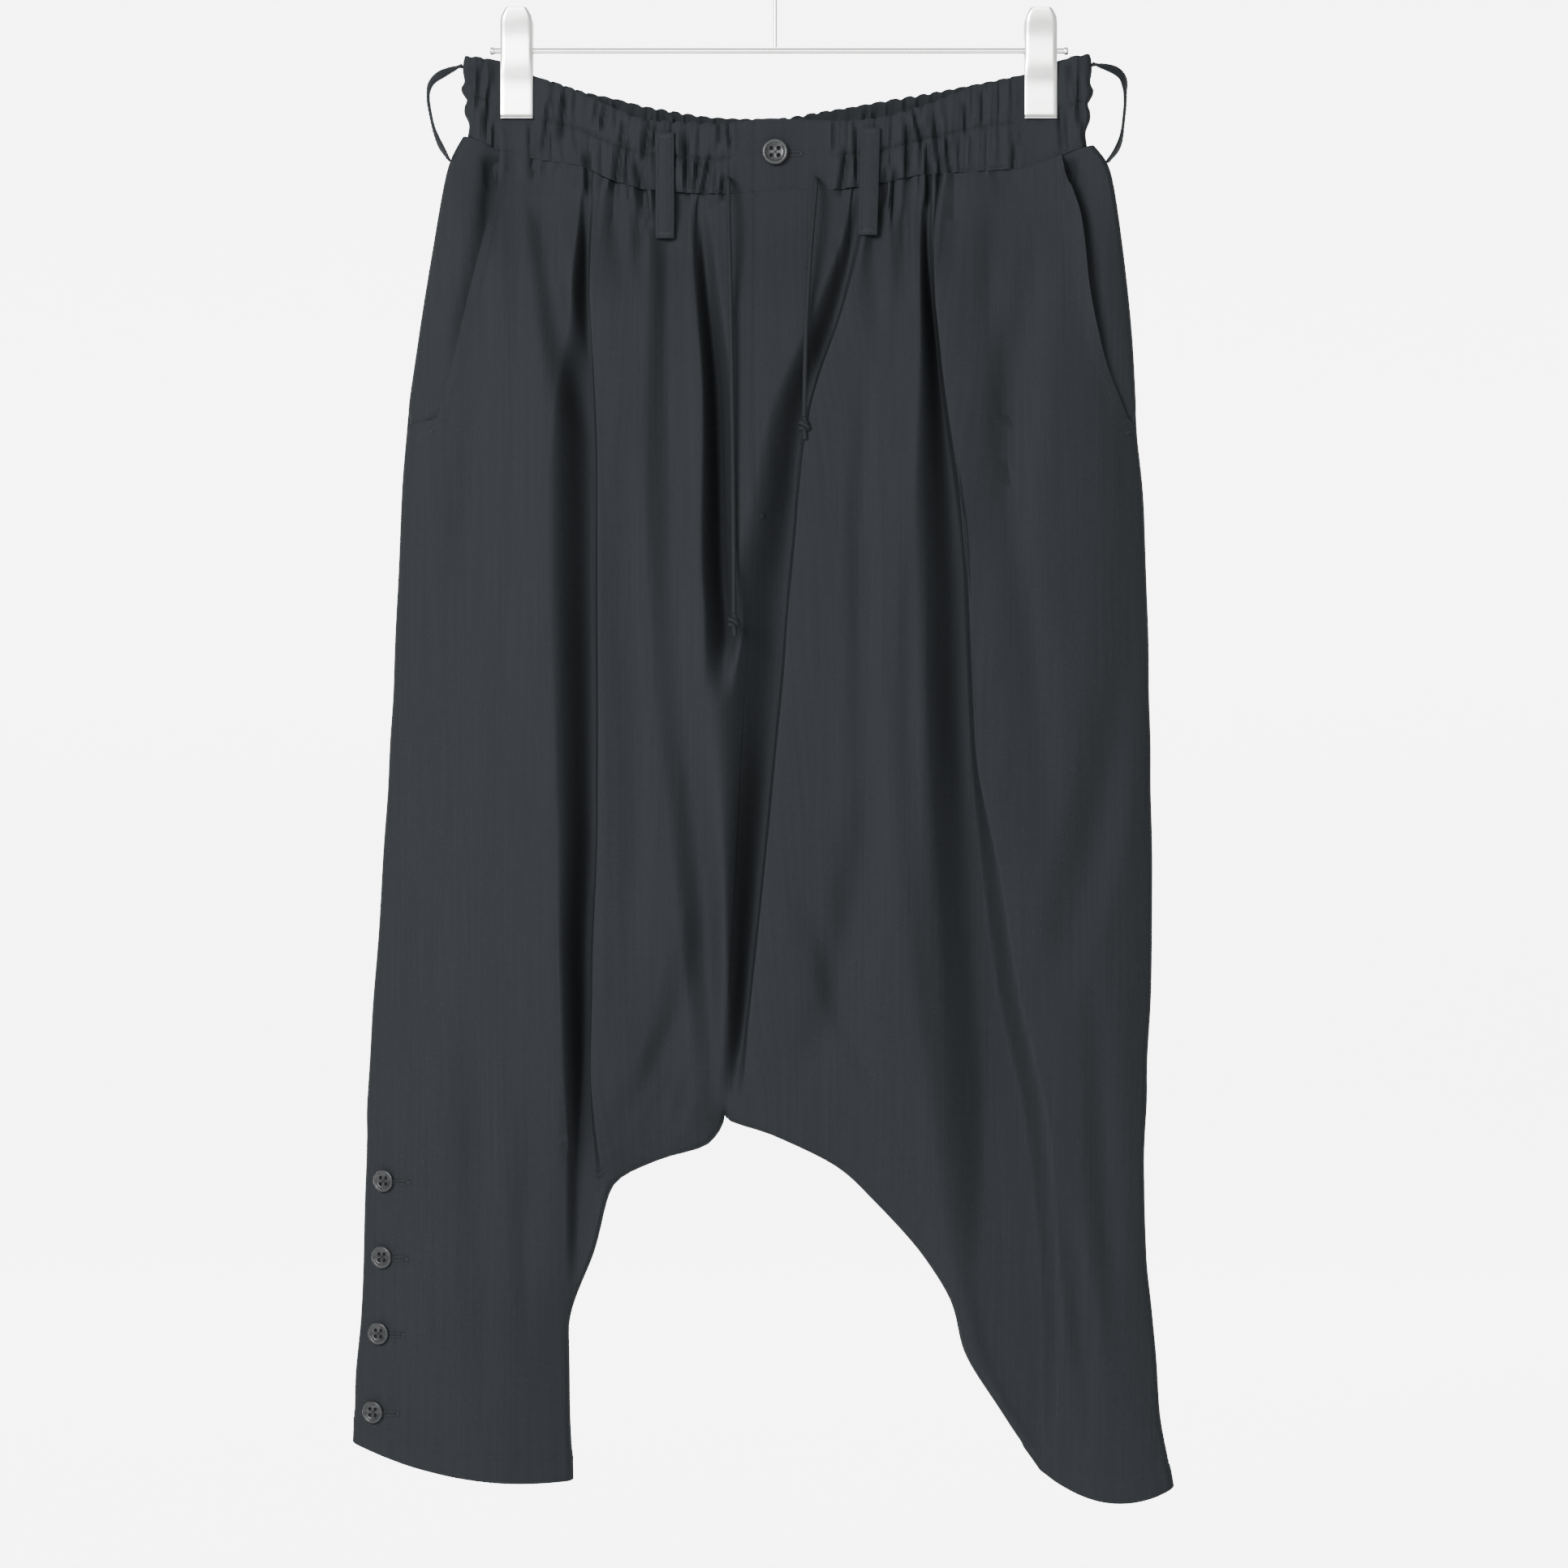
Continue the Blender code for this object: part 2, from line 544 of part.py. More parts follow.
    def mouth(self, v, wall="front"):
        """The value of u where section v crosses the pocket's mouth."""
        drops = [m.drop for m in POCKET_MOUTHS[self.side]]
        places = [m.x for m in POCKET_MOUTHS[self.side]]
        low, high = 0.5, 1.0
        for _ in range(40):
            middle = (low + high) / 2
            x, drop = self.flat(np.float64(middle), np.float64(v), wall)
            beyond = self.sign * (x - through(drops, places, drop)) > 0
            low, high = (low, middle) if beyond else (middle, high)
        return (low + high) / 2


def fold_value(fold, column, drop):
    """A value from the fold's stations at a drop."""
    drops = [s.drop for s in fold.stations]
    return through(drops, [getattr(s, column) for s in fold.stations], drop)


def fold_depth(fold, drop):
    """How deep the fold is at a drop: nothing beyond an end where it has run out."""
    first, last = fold.stations[0], fold.stations[-1]
    inside = (drop > first.drop) & (drop < last.drop)
    inside = inside | ((drop <= first.drop) & (first.depth > 0))
    return np.where(inside, fold_value(fold, "depth", drop), 0.0)


def fold_shift(folds, x, drop):
    """How far the folds push the cloth sideways and sink it towards the middle plane."""
    pushed, sunk = np.zeros_like(x), np.zeros_like(x)
    for fold in folds.values():
        depth = fold_depth(fold, drop)
        off = x - fold_value(fold, "x", drop)
        left, right = fold_value(fold, "left", drop), fold_value(fold, "right", drop)
        place = np.clip(np.abs(np.where(off < 0, off / left, off / right)), 0, 1)
        flatter = TROUGH_FLOOR if fold.lean else 0.0
        sunk += depth * (1 - smooth_step((place - flatter) / (1 - flatter)))
        if not fold.lean:
            continue
        steep = right if fold.lean > 0 else -left
        crest = off - steep - math.copysign(5, fold.lean)
        share = np.clip(depth / 20, 0, 1)
        pushed -= fold.lean * share * np.exp(-((crest / 9) ** 2))
        sunk -= fold.roll * share * np.exp(-((crest / 13) ** 2))
    return pushed, sunk


HALVES = {side: Half(side) for side in SECTIONS}


def cloth_layers(half, wall, u, v, raised=0.0):
    """Outer and inner points, in metres, of cloth at a grid of u and v."""
    du, dv = 1e-4, 2e-3
    u_low, u_high = np.clip(u - du, 0, 1), np.clip(u + du, 0, 1)
    v_low, v_high = np.clip(v - dv, 0, half.last), np.clip(v + dv, 0, half.last)
    outer = half.surface(u, v, wall)
    across = half.surface(u_high, v, wall) - half.surface(u_low, v, wall)
    down = half.surface(u, v_high, wall) - half.surface(u, v_low, wall)
    normal = np.cross(across, down) * -half.sign * WALL_SIGN[wall]
    normal[..., 0] = np.where((u <= 0) & (v <= CROTCH), 0.0, normal[..., 0])
    normal = unit(normal)
    raised = np.asarray(raised, float)[..., None]
    outer = outer + normal * raised
    inner = outer - normal * CLOTH
    return in_metres(*np.moveaxis(outer, -1, 0)), in_metres(*np.moveaxis(inner, -1, 0))


def section_rows(half):
    """Where the mesh's rows lie, as values of v."""
    rows = []
    for index, section in enumerate(SECTIONS[half.side]):
        rows += [index + k / section.rows for k in range(section.rows)]
    rows.append(float(half.last))
    return rows


# ---------------------------------------------------------------- the trousers' pieces


def add_panels(finish):
    """The two fronts, whose outer edges follow the pocket mouths, and the two backs."""
    for wall, side in PANEL_PLEATS:
        half = HALVES[side]
        rows = section_rows(half)
        if wall == "front":
            rows.insert(rows.index(POCKET_FOOT), POCKET_FOOT - 0.03)
        grid_u = []
        for v in rows:
            to_mouth = wall == "front" and v < POCKET_FOOT
            grid_u.append(half.spread(v, wall, half.mouth(v) if to_mouth else 1.0))
        grid_u = np.array(grid_u)
        grid_v = np.repeat(np.array(rows)[:, None], grid_u.shape[1], axis=1)
        outer, inner = cloth_layers(half, wall, grid_u, grid_v)
        add_wall(f"{wall}_{side}", outer, inner, finish)


def add_pocket_facings(finish):
    """The piece behind each pocket mouth, which carries on to the side seam."""
    across = 7
    for side, half in HALVES.items():
        rows = [v for v in section_rows(half) if v < POCKET_FOOT] + [POCKET_FOOT - 0.045]
        grid_u, step = [], []
        for v in rows:
            edge = half.mouth(v)
            start, end = half.flat(np.array([0.0, 1.0]), np.array([v, v]), "front")[0]
            tucked = edge - FACING_UNDERLAP / abs(end - start)
            spaced = np.linspace(0, 1, across + 1)
            u = tucked + (1 - tucked) * np.sin(spaced * math.pi / 2) ** 1.2
            grid_u.append(u)
            step.append(FACING_STEP * (1 - smooth_step((u - edge) / (1 - edge))))
        grid_u = np.array(grid_u)
        grid_v = np.repeat(np.array(rows)[:, None], across + 1, axis=1)
        outer, inner = cloth_layers(half, "front", grid_u, grid_v, -np.array(step))
        add_wall(f"pocket_facing_{side}", outer, inner, finish)


def band_outline(x, wall, depth_extra=0.0):
    """The band's outer face over x, before its channels and gathers."""
    end_gap = np.minimum(x - BAND_ENDS[0], BAND_ENDS[1] - x)
    depth = waist(x, "depth") * quarter_round(end_gap, BAND_ROUND)
    return WALL_SIGN[wall] * (SEAM_GAP / 2 + depth + depth_extra)


def band_relief(x, wall, share):
    """How far the channels and the gathers stand out, a share of the way down the band."""
    shares = [level.share for level in BAND_LEVELS]
    swell = np.interp(share, shares, [level.swell for level in BAND_LEVELS])
    gather = np.interp(share, shares, [level.gather for level in BAND_LEVELS])
    return BAND_PUFF * swell * gathering(x, wall) + gather * band_waves(x, wall)


def add_band(name, wall, columns, finish, lift=None):
    """A length of waistband: a plain inner face, and two gathered channels outside."""
    x = np.asarray(columns, float)
    lifted = lift(x) if lift else np.zeros_like(x)
    end_gap = np.minimum(x - BAND_ENDS[0], BAND_ENDS[1] - x)
    near_end = smooth_step(end_gap / 8)
    y = band_outline(x, wall, lifted)
    slope = np.clip(np.gradient(y, x), -6, 6)
    normal = unit(np.stack([-slope, np.ones_like(x)], axis=-1)) * WALL_SIGN[wall]
    ends = end_gap < 0.05
    normal[ends] = np.stack([np.sign(x[ends]), np.zeros(ends.sum())], axis=-1)
    top, foot = waist(x, f"{wall}_top"), waist(x, f"{wall}_seam")
    outer, inner = [], []
    for level in BAND_LEVELS:
        raised = band_relief(x, wall, level.share) * near_end
        drop = top + (foot - top) * level.share
        outer.append(in_metres(x + normal[:, 0] * raised, y + normal[:, 1] * raised, drop))
        inner.append(in_metres(x - normal[:, 0] * BAND_WALL, y - normal[:, 1] * BAND_WALL, drop))
    return add_wall(name, np.array(outer), np.array(inner), finish)


def band_columns(start, end, wall):
    """Columns along the band: close together in the gathers, and round its ends."""
    low, high = BAND_ENDS
    turned = BAND_ROUND * (1 - np.cos(np.linspace(0, math.pi / 2, 4)))
    x = np.linspace(low + BAND_ROUND, high - BAND_ROUND, BAND_COLUMNS)
    x = x[1:-1]
    if wall == "front":
        flat = (x > FLAT_FRONT[0] - 4) & (x < FLAT_FRONT[1] + 4)
        x = x[~flat | (np.arange(len(x)) % 3 == 0)]
    for zone_low, zone_high in PLAIN_ZONES:
        plain = (x > zone_low + 6) & (x < zone_high - 6)
        x = x[~plain | (np.arange(len(x)) % 3 == 0)]
    x = np.concatenate([low + turned, x, high - turned[::-1]])
    inside = x[(x > start + 0.6) & (x < end - 0.6)]
    return np.concatenate([[start], inside, [end]])


def add_waistband(finish):
    low, high = BAND_ENDS
    left_end = FLY_EDGE - FLY_LAP - 0.4
    right_end = FLY_EDGE + FLY_LAP

    def lift(x):
        return BAND_LIFT * smooth_step(1 - (x - FLY_EDGE) / 34)

    add_band("waistband_front_right", "front", band_columns(low, right_end, "front"), finish)
    add_band("waistband_front_left", "front", band_columns(left_end, high, "front"), finish, lift)
    add_band("waistband_back", "back", band_columns(low, high, "back"), finish)


def front_face(x, drop):
    """The most forward y of the front cloth or band at a place, in millimetres."""
    side = "right" if x < FLY_EDGE else "left"
    foot = float(waist(np.float64(x), "front_seam"))
    top = float(waist(np.float64(x), "front_top"))
    if top - 2 < drop < foot + 0.5:
        raised = BAND_LIFT * float(smooth_step(1 - (x - FLY_EDGE) / 34)) if side == "left" else 0
        xs = np.linspace(x - 1, x + 1, 5)
        relief = band_relief(xs, "front", (drop - top) / (foot - top))
        return float((band_outline(xs, "front", raised) - relief).min())
    half = HALVES[side]
    low, high = 0.0, float(half.last)
    u = 0.5
    for _ in range(30):
        v = (low + high) / 2
        inner, outer = half.along("inner_x", v), half.along("outer_x", v)
        u = float(np.clip((x - inner) / (outer - inner), 0, 1))
        at_drop = half.flat(np.float64(u), np.float64(v), "front")[1]
        low, high = (low, v) if at_drop > drop else (v, high)
    return float(half.surface(u, v, "front")[1])


def cloth_place(half, wall, drop, inset):
    """Centre point and outward normal, in metres, a distance in from the side seam."""
    low, high = 0.0, float(half.last)
    for _ in range(40):
        v = (low + high) / 2
        low, high = (low, v) if half.along("outer_drop", v) > drop else (v, high)
    width = abs(float(half.along("outer_x", v) - half.along("inner_x", v)))
    u = np.array([[1 - inset / width]])
    outer, inner = cloth_layers(half, wall, u, np.array([[v]]))
    return Vector(outer[0, 0]), Vector(outer[0, 0] - inner[0, 0]).normalized()


# ---------------------------------------------------------------- loops, buttons, cords


def add_strap(name, path, width_axis, finish):
    """A flat strap that follows a path of (x, y, drop) and spreads along the width axis."""
    path = np.array(path, float)
    along = unit(np.gradient(path, axis=0))
    width_axis = np.array(width_axis, float)
    out = unit(np.cross(along, width_axis))
    half_width = LOOP_WIDTH / 2
    levels = np.array([-1.0, -0.86, 0.86, 1.0])
    bow = np.array([0.35, 0.0, 0.0, 0.35])
    outer, inner = [], []
    for level, fall in zip(levels, bow):
        edge = path + width_axis * level * half_width
        outer.append(edge + out * (LOOP_THICKNESS * (1 - fall)))
        inner.append(edge + out * (LOOP_THICKNESS * 0.5 * fall))
    outer = np.swapaxes(np.array(outer), 0, 1)
    inner = np.swapaxes(np.array(inner), 0, 1)
    to = [in_metres(*np.moveaxis(layer, -1, 0)) for layer in (outer, inner)]
    return add_wall(name, to[0], to[1], finish)


def front_loop_path(x, top, foot):
    """Straight down before the band, then bridging to the cloth below it."""
    drops = np.linspace(top, foot, 11)
    near = [min(front_face(x + dx, d) for dx in (-6.5, -3, 0, 3, 6.5)) for d in drops]
    near = np.array(near) - LOOP_STAND_OFF
    chord = near[0] + (near[-1] - near[0]) * (drops - top) / (foot - top)
    y = np.minimum(near, chord)
    for _ in range(6):
        y[1:-1] = np.minimum(y[1:-1], 0.5 * (y[:-2] + y[2:]) + 0.05)
    lean = 0.03 * np.sign(x) * (drops - top) * (x > 0)
    return [(x - dx, yy, d) for dx, yy, d in zip(lean, y, drops)]


def add_belt_loops(finish):
    for side, (x, top, foot) in FRONT_LOOPS.items():
        add_strap(f"belt_loop_front_{side}", front_loop_path(x, top, foot), (-1, 0, 0), finish)
    turned = {
        "right": [(-211.1, 11), (-219, 13.5), (-228, 18), (-233, 24), (-234, 32), (-232.5, 42),
                  (-230, 53), (-226.5, 62), (-219.5, 73.5)],
        "left": [(214.1, 10), (223, 11.5), (231, 14.5), (235.5, 21), (236, 34), (235, 46),
                 (233.5, 58), (230, 67), (223.8, 74.5)],
    }
    for side, route in turned.items():
        sign = SIDE_SIGN[side]
        path = [(x + sign * 0.2, 0.0, drop) for x, drop in route]
        add_strap(f"belt_loop_side_{side}", path, (0, -sign, 0), finish)
    drops = np.linspace(40, 112, 11)
    x = 2.0
    back = []
    for drop in drops:
        foot = float(waist(np.float64(x), "back_seam"))
        if drop < foot + 0.5:
            xs = np.linspace(x - 6.5, x + 6.5, 27)
            out = (band_outline(xs, "back") + band_waves(xs, "back")).max() + BAND_PUFF
        else:
            out = max(back_face(x + dx, drop) for dx in (-6.5, -3, 0, 3, 6.5))
        back.append(out + LOOP_STAND_OFF)
    chord = back[0] + (back[-1] - back[0]) * (drops - drops[0]) / (drops[-1] - drops[0])
    y = np.maximum(back, chord)
    add_strap("belt_loop_back", [(x, yy, d) for yy, d in zip(y, drops)], (1, 0, 0), finish)


def back_face(x, drop):
    half = HALVES["right" if x < FLY_EDGE else "left"]
    low, high = 0.0, float(half.last)
    u = 0.5
    for _ in range(30):
        v = (low + high) / 2
        inner, outer = half.along("inner_x", v), half.along("outer_x", v)
        u = float(np.clip((x - inner) / (outer - inner), 0, 1))
        at_drop = half.flat(np.float64(u), np.float64(v), "back")[1]
        low, high = (low, v) if at_drop > drop else (v, high)
    return float(half.surface(u, v, "back")[1])


def add_button(name, radius, centre, normal, finish):
    """A turned button: a rolled rim round a dished face, and a low boss behind."""
    r, h = radius * MM, BUTTON_THICKNESS * MM
    profile = [
        (0.0, 0.6 * h), (0.62 * r, 0.62 * h), (0.8 * r, h), (r, 0.7 * h), (0.9 * r, 0.0), (0.0, 0.0),
    ]
    mesh = bpy.data.meshes.new(name)
    mesh.from_pydata([(x, 0, z) for x, z in profile], [(i, i + 1) for i in range(5)], [])
    obj = add_object(name, mesh, finish, smooth=False)
    turn = obj.modifiers.new("turn", "SCREW")
    turn.steps = turn.render_steps = 14
    turn.use_merge_vertices = True
    turn.merge_threshold = 1e-5
    turn.use_smooth_shade = True
    facing = normal.to_track_quat("Z", "Y").to_matrix().to_4x4()
    obj.matrix_world = Matrix.Translation(centre + normal * 0.3 * MM) @ facing
    return obj


def add_buttons(finish):
    x, drop = WAIST_BUTTON["x"], WAIST_BUTTON["drop"]
    reach = WAIST_BUTTON["radius"]
    y = min(front_face(x + dx, drop) for dx in (-reach, 0, reach))
    add_button("waist_button", reach, Vector(in_metres(x, y, drop)), Vector((0, -1, 0)), finish)
    for side, half in HALVES.items():
        wall = "front" if side == "right" else "back"
        for number, drop in enumerate(ANKLE_BUTTON_DROPS, 1):
            centre, normal = cloth_place(half, wall, drop, ANKLE_BUTTON_INSET)
            name = f"ankle_button_{side}_{number}"
            add_button(name, ANKLE_BUTTON_RADIUS, centre, normal, finish)


def add_cord(side, finish):
    """A hanging end of the drawcord, with its overhand knot."""
    out, *rest = CORD_ROUTES[side]
    face = front_face(out.x, out.drop) - CORD_CLEARANCE
    route = [Route(out.x, face, out.drop), Route(out.x, face - 2.4, out.drop + 1.2)] + rest
    curve = bpy.data.curves.new(f"drawcord_{side}", "CURVE")
    curve.dimensions = "3D"
    curve.bevel_depth = CORD_RADIUS * MM
    curve.bevel_resolution = 1
    curve.use_fill_caps = True
    stops = np.linspace(0, len(route) - 1, 8 * (len(route) - 1) // 2 + 1)
    columns = [through(range(len(route)), [getattr(r, c) for r in route], stops) for c in Route._fields]
    points = in_metres(*columns)
    spline = curve.splines.new("POLY")
    spline.points.add(len(points) - 1)
    for point, place in zip(spline.points, points):
        point.co = (*place, 1.0)
    add_object(f"drawcord_{side}", curve, finish)
    end = route[-1]
    bm = bmesh.new()
    bmesh.ops.create_uvsphere(bm, u_segments=12, v_segments=8, radius=0.5)
    for vert in bm.verts:
        waisted = 1 - 0.16 * math.exp(-((vert.co.z / 0.16) ** 2))
        vert.co = Vector((
            vert.co.x * KNOT_SIZE[0] * waisted,
            vert.co.y * KNOT_SIZE[1] * waisted,
            vert.co.z * KNOT_SIZE[2],
        )) * MM
    name = f"drawcord_knot_{side}"
    knot = add_object(name, finished_mesh(name, bm), finish)
    knot.location = in_metres(end.x, end.y, end.drop + KNOT_SIZE[2] / 2 + SEAM_GAP)


# ---------------------------------------------------------------- the hanger


def add_wire(name, points, radius, finish):
    curve = bpy.data.curves.new(name, "CURVE")
    curve.dimensions = "3D"
    curve.bevel_depth = radius * MM
    curve.bevel_resolution = 2
    curve.use_fill_caps = True
    spline = curve.splines.new("POLY")
    spline.points.add(len(points) - 1)
    for point, place in zip(spline.points, points):
        point.co = (*place, 1.0)
    return add_object(name, curve, finish)


def add_hanger(finish):
    low, high = BAR_REACH
    bar_z = -BAR_DROP * MM
    profile = [(0.0, high), (1.4, high), (2.6, high - 0.8), (2.6, high - 3), (2.0, high - 3.4),
               (2.0, low + 3.4), (2.6, low + 3), (2.6, low + 0.8), (1.4, low), (0.0, low)]
    mesh = bpy.data.meshes.new("hanger_bar")
    places = [(r * MM, 0, x * MM) for r, x in profile]
    mesh.from_pydata(places, [(i, i + 1) for i in range(len(places) - 1)], [])
    bar = add_object("hanger_bar", mesh, finish, smooth=False)
    turn = bar.modifiers.new("turn", "SCREW")
    turn.steps = turn.render_steps = 16
    turn.use_merge_vertices = True
    turn.merge_threshold = 1e-5
    bar.matrix_world = Matrix.Translation((0, 0, bar_z)) @ Matrix.Rotation(math.pi / 2, 4, "Y")
    # The stem rises from the bar, bends to one side and turns over in a hook.
    arc = HOOK_INSIDE_RADIUS + HOOK_WIRE_RADIUS
    centre_z = -HOOK_INSIDE_RADIUS
    route = [(0, -BAR_DROP + BAR_RADIUS + SEAM_GAP), (0, -80), (0, -62), (1.2, -54), (5, -47), (10.5, -41.5)]
    for degrees in range(-50, 206, 15):
        angle = math.radians(degrees)
        route.append((arc * math.cos(angle), centre_z + arc * math.sin(angle)))
    add_wire("hanger_hook", [(x * MM, 0, z * MM) for x, z in route], HOOK_WIRE_RADIUS, finish)
    for side, x in CLIP_CENTRES.items():
        add_clip(side, x, finish)


def add_clip(side, x, finish):
    """Two bent jaws that bear on the band, and the spring coil round the bar."""
    # Each jaw's section: how far its inner face stands from the middle plane at a drop.
    section = [(9.0, -28.0), (8.6, -24.0), (6.6, -12.0), (6.0, -4.0), (6.0, 4.0), (5.2, 14.0),
               (3.9, 22.0), (3.75, 44.0), (4.4, 46.6)]
    for wall, sign in WALL_SIGN.items():
        bm = bmesh.new()
        bmesh.ops.create_grid(bm, x_segments=4, y_segments=len(section) - 1, size=1.0)
        grown = bmesh.ops.extrude_face_region(bm, geom=bm.faces[:])
        lifted = {e for e in grown["geom"] if isinstance(e, bmesh.types.BMVert)}
        for vert in bm.verts:
            across = vert.co.x
            i = round((vert.co.y + 1) / 2 * (len(section) - 1))
            stand, drop = section[i]
            narrowed = {0: 0.8, 1: 0.97}.get(i, 1.0)
            stand += CLIP_PLATE if vert in lifted else 0.0
            px = x + across * narrowed * CLIP_WIDTH / 2
            vert.co = Vector(in_metres(px, sign * stand, drop))
        name = f"clip_jaw_{wall}_{side}"
        add_object(name, finished_mesh(name, bm), finish)
    inner, outer, reach = BAR_RADIUS + SEAM_GAP, SPRING_RADIUS, 8.0
    profile = [(inner, reach), (outer, reach), (outer, -reach), (inner, -reach), (inner, reach)]
    mesh = bpy.data.meshes.new(f"clip_spring_{side}")
    places = [(r * MM, 0, along * MM) for r, along in profile[:-1]]
    mesh.from_pydata(places, [(0, 1), (1, 2), (2, 3), (3, 0)], [])
    spring = add_object(f"clip_spring_{side}", mesh, finish, smooth=False)
    turn = spring.modifiers.new("turn", "SCREW")
    turn.steps = turn.render_steps = 16
    turn.use_merge_vertices = True
    turn.merge_threshold = 1e-5
    place = Matrix.Translation((x * MM, 0, -BAR_DROP * MM))
    spring.matrix_world = place @ Matrix.Rotation(math.pi / 2, 4, "Y")


def main():
    for obj in list(bpy.data.objects):
        bpy.data.objects.remove(obj, do_unlink=True)
    collection = bpy.data.collections.new("harem_trousers")
    bpy.context.scene.collection.children.link(collection)
    PARTS["collection"] = collection
    cloth = material("charcoal_twill", (0.040, 0.043, 0.047), 0.9)
    horn = material("dark_horn", (0.055, 0.055, 0.058), 0.32)
    cord = material("braided_cord", (0.042, 0.044, 0.048), 0.85)
    chrome = material("bright_chrome", (0.72, 0.73, 0.75), 0.16, 1.0)
    add_panels(cloth)
    add_pocket_facings(cloth)
    add_waistband(cloth)
    add_belt_loops(cloth)
    add_buttons(horn)
    for side in CORD_ROUTES:
        add_cord(side, cord)
    add_hanger(chrome)


main()
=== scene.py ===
"""Harem trousers on a clip hanger: the cloth, buttons, cords and chrome round the solids.

+X is the wearer's left, -Y is the front, +Z is up, and the origin is where the hook bears
on its rail. Sizes are millimetres until a mesh is made in metres, and a "drop" is a
distance down from the hanger's bar.
"""

import math
from collections import namedtuple

import bmesh
import bpy
import numpy as np
from mathutils import Matrix, Vector


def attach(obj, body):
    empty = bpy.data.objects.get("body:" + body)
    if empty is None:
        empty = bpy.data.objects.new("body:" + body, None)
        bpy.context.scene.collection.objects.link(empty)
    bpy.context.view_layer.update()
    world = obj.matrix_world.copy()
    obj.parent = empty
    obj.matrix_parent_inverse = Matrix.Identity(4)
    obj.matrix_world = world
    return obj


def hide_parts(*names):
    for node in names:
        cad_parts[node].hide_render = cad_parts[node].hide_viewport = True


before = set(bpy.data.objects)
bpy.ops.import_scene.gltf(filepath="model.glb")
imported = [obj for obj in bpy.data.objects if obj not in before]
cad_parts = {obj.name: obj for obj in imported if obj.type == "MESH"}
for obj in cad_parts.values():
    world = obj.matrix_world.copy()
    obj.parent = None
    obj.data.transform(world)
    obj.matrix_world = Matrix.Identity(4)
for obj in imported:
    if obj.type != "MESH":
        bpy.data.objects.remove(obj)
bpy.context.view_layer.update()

MM = 0.001
BAR_DROP = 105.0
BAR_RADIUS = 2.0
BAR_REACH = (-193.5, 199.0)
HOOK_WIRE_RADIUS = 1.5
HOOK_INSIDE_RADIUS = 20.0
CLIP_CENTRES = {"right": -174.9, "left": 179.8}
CLIP_WIDTH = 22.0
CLIP_PLATE = 1.0
SPRING_RADIUS = 5.2

# The cloth.
SEAM_GAP = 0.3
CENTRE_OVERLAP = 0.12  # the halves meet at the centre seams, so no light comes through
BAND_SEAM_GAP = 0.7
CLOTH = 1.2
BAND_WALL = 2.4
SEAM_ROUND = 6.0  # how the cloth turns at a side seam or an inseam
BAND_ROUND = 5.0
SEAM_EASE = 45.0  # how soon the front and the back swell apart inside a seam
WAIST_EASE = 90.0  # how soon the cloth below the band takes its full depth
VALLEY_FLOOR = 6.5  # no fold reaches nearer to the middle plane than this
OVERHANG = 1.9
BAND_ENDS = (-211.0, 214.0)
FLY_EDGE = -13.0
FLY_FOOT = 317.0
FLY_LAP = 0.9  # each front passes the fly's edge by this
FLY_LIFT = 2.6  # the left front stands this far before the right one
BAND_LIFT = 2.8

# The front and back halves' seams. Each row is one section across a leg panel: where it
# meets the centre seam or the inseam, where it meets the side seam, how far its middle
# sags.
SECTION_COLUMNS = ("inner_x", "inner_drop", "outer_x", "outer_drop", "sag")
SECTIONS = {
    "right": [
        (-13, 97, -211.5, 58, 0),
        (-13, 112, -221, 77, 0),
        (-13, 150, -233, 140, 0),
        (-13, 205, -242.5, 200, 0),
        (-13, 256, -250, 256, 0),
        (-13, 317, -254, 317, 0),
        (-20, 440, -259.5, 440, 0),
        (-28, 590, -268, 580, 0),
        (-34, 700, -275, 680, 0),
        (-34, 721.5, -276, 702, 0),
        (-45, 741, -277, 724, 0),
        (-79, 752, -277, 745, 0),
        (-109, 768.5, -277.5, 766, 0),
        (-122, 812.5, -278.5, 808, 0),
        (-139.5, 867.5, -281, 862, 1),
        (-138.5, 920, -284.5, 904, 4),
        (-137, 967.5, -285.5, 941.5, 9),
    ],
    "left": [
        (-13, 97, 216, 63, 0),
        (-13, 112, 226.5, 79, 0),
        (-13, 150, 236.5, 140, 0),
        (-13, 205, 242.5, 200, 0),
        (-13, 256, 245.5, 256, 0),
        (-13, 317, 250.5, 317, 0),
        (-20, 440, 254, 440, 0),
        (-28, 590, 256, 590, 0),
        (-34, 700, 252.5, 690, 0),
        (-34, 721.5, 252, 712, 0),
        (-1, 735.5, 251, 735, 0),
        (43, 757.5, 250.5, 757, 0),
        (67, 779.5, 250.5, 780, 0),
        (101, 818, 252, 818, 0),
        (120, 851, 255.5, 850, 0),
        (127, 878.5, 258, 880, 2),
        (153, 922.5, 261.5, 925, 7),
        (179.5, 961, 270, 972, 15),
    ],
}
CROTCH = 9  # the section where the four panels meet
POCKET_FOOT = 4  # the section where the pocket mouths end

# The slant of each pocket mouth, from the waist seam to the side seam: drops and x.
POCKET_MOUTHS = {
    "right": [(68, -186), (125, -195), (196, -212), (255, -228.5)],
    "left": [(68, 193.5), (118, 206), (160, 209), (203, 219), (255, 240)],
}
FACING_UNDERLAP = 9.0
FACING_STEP = 2.1

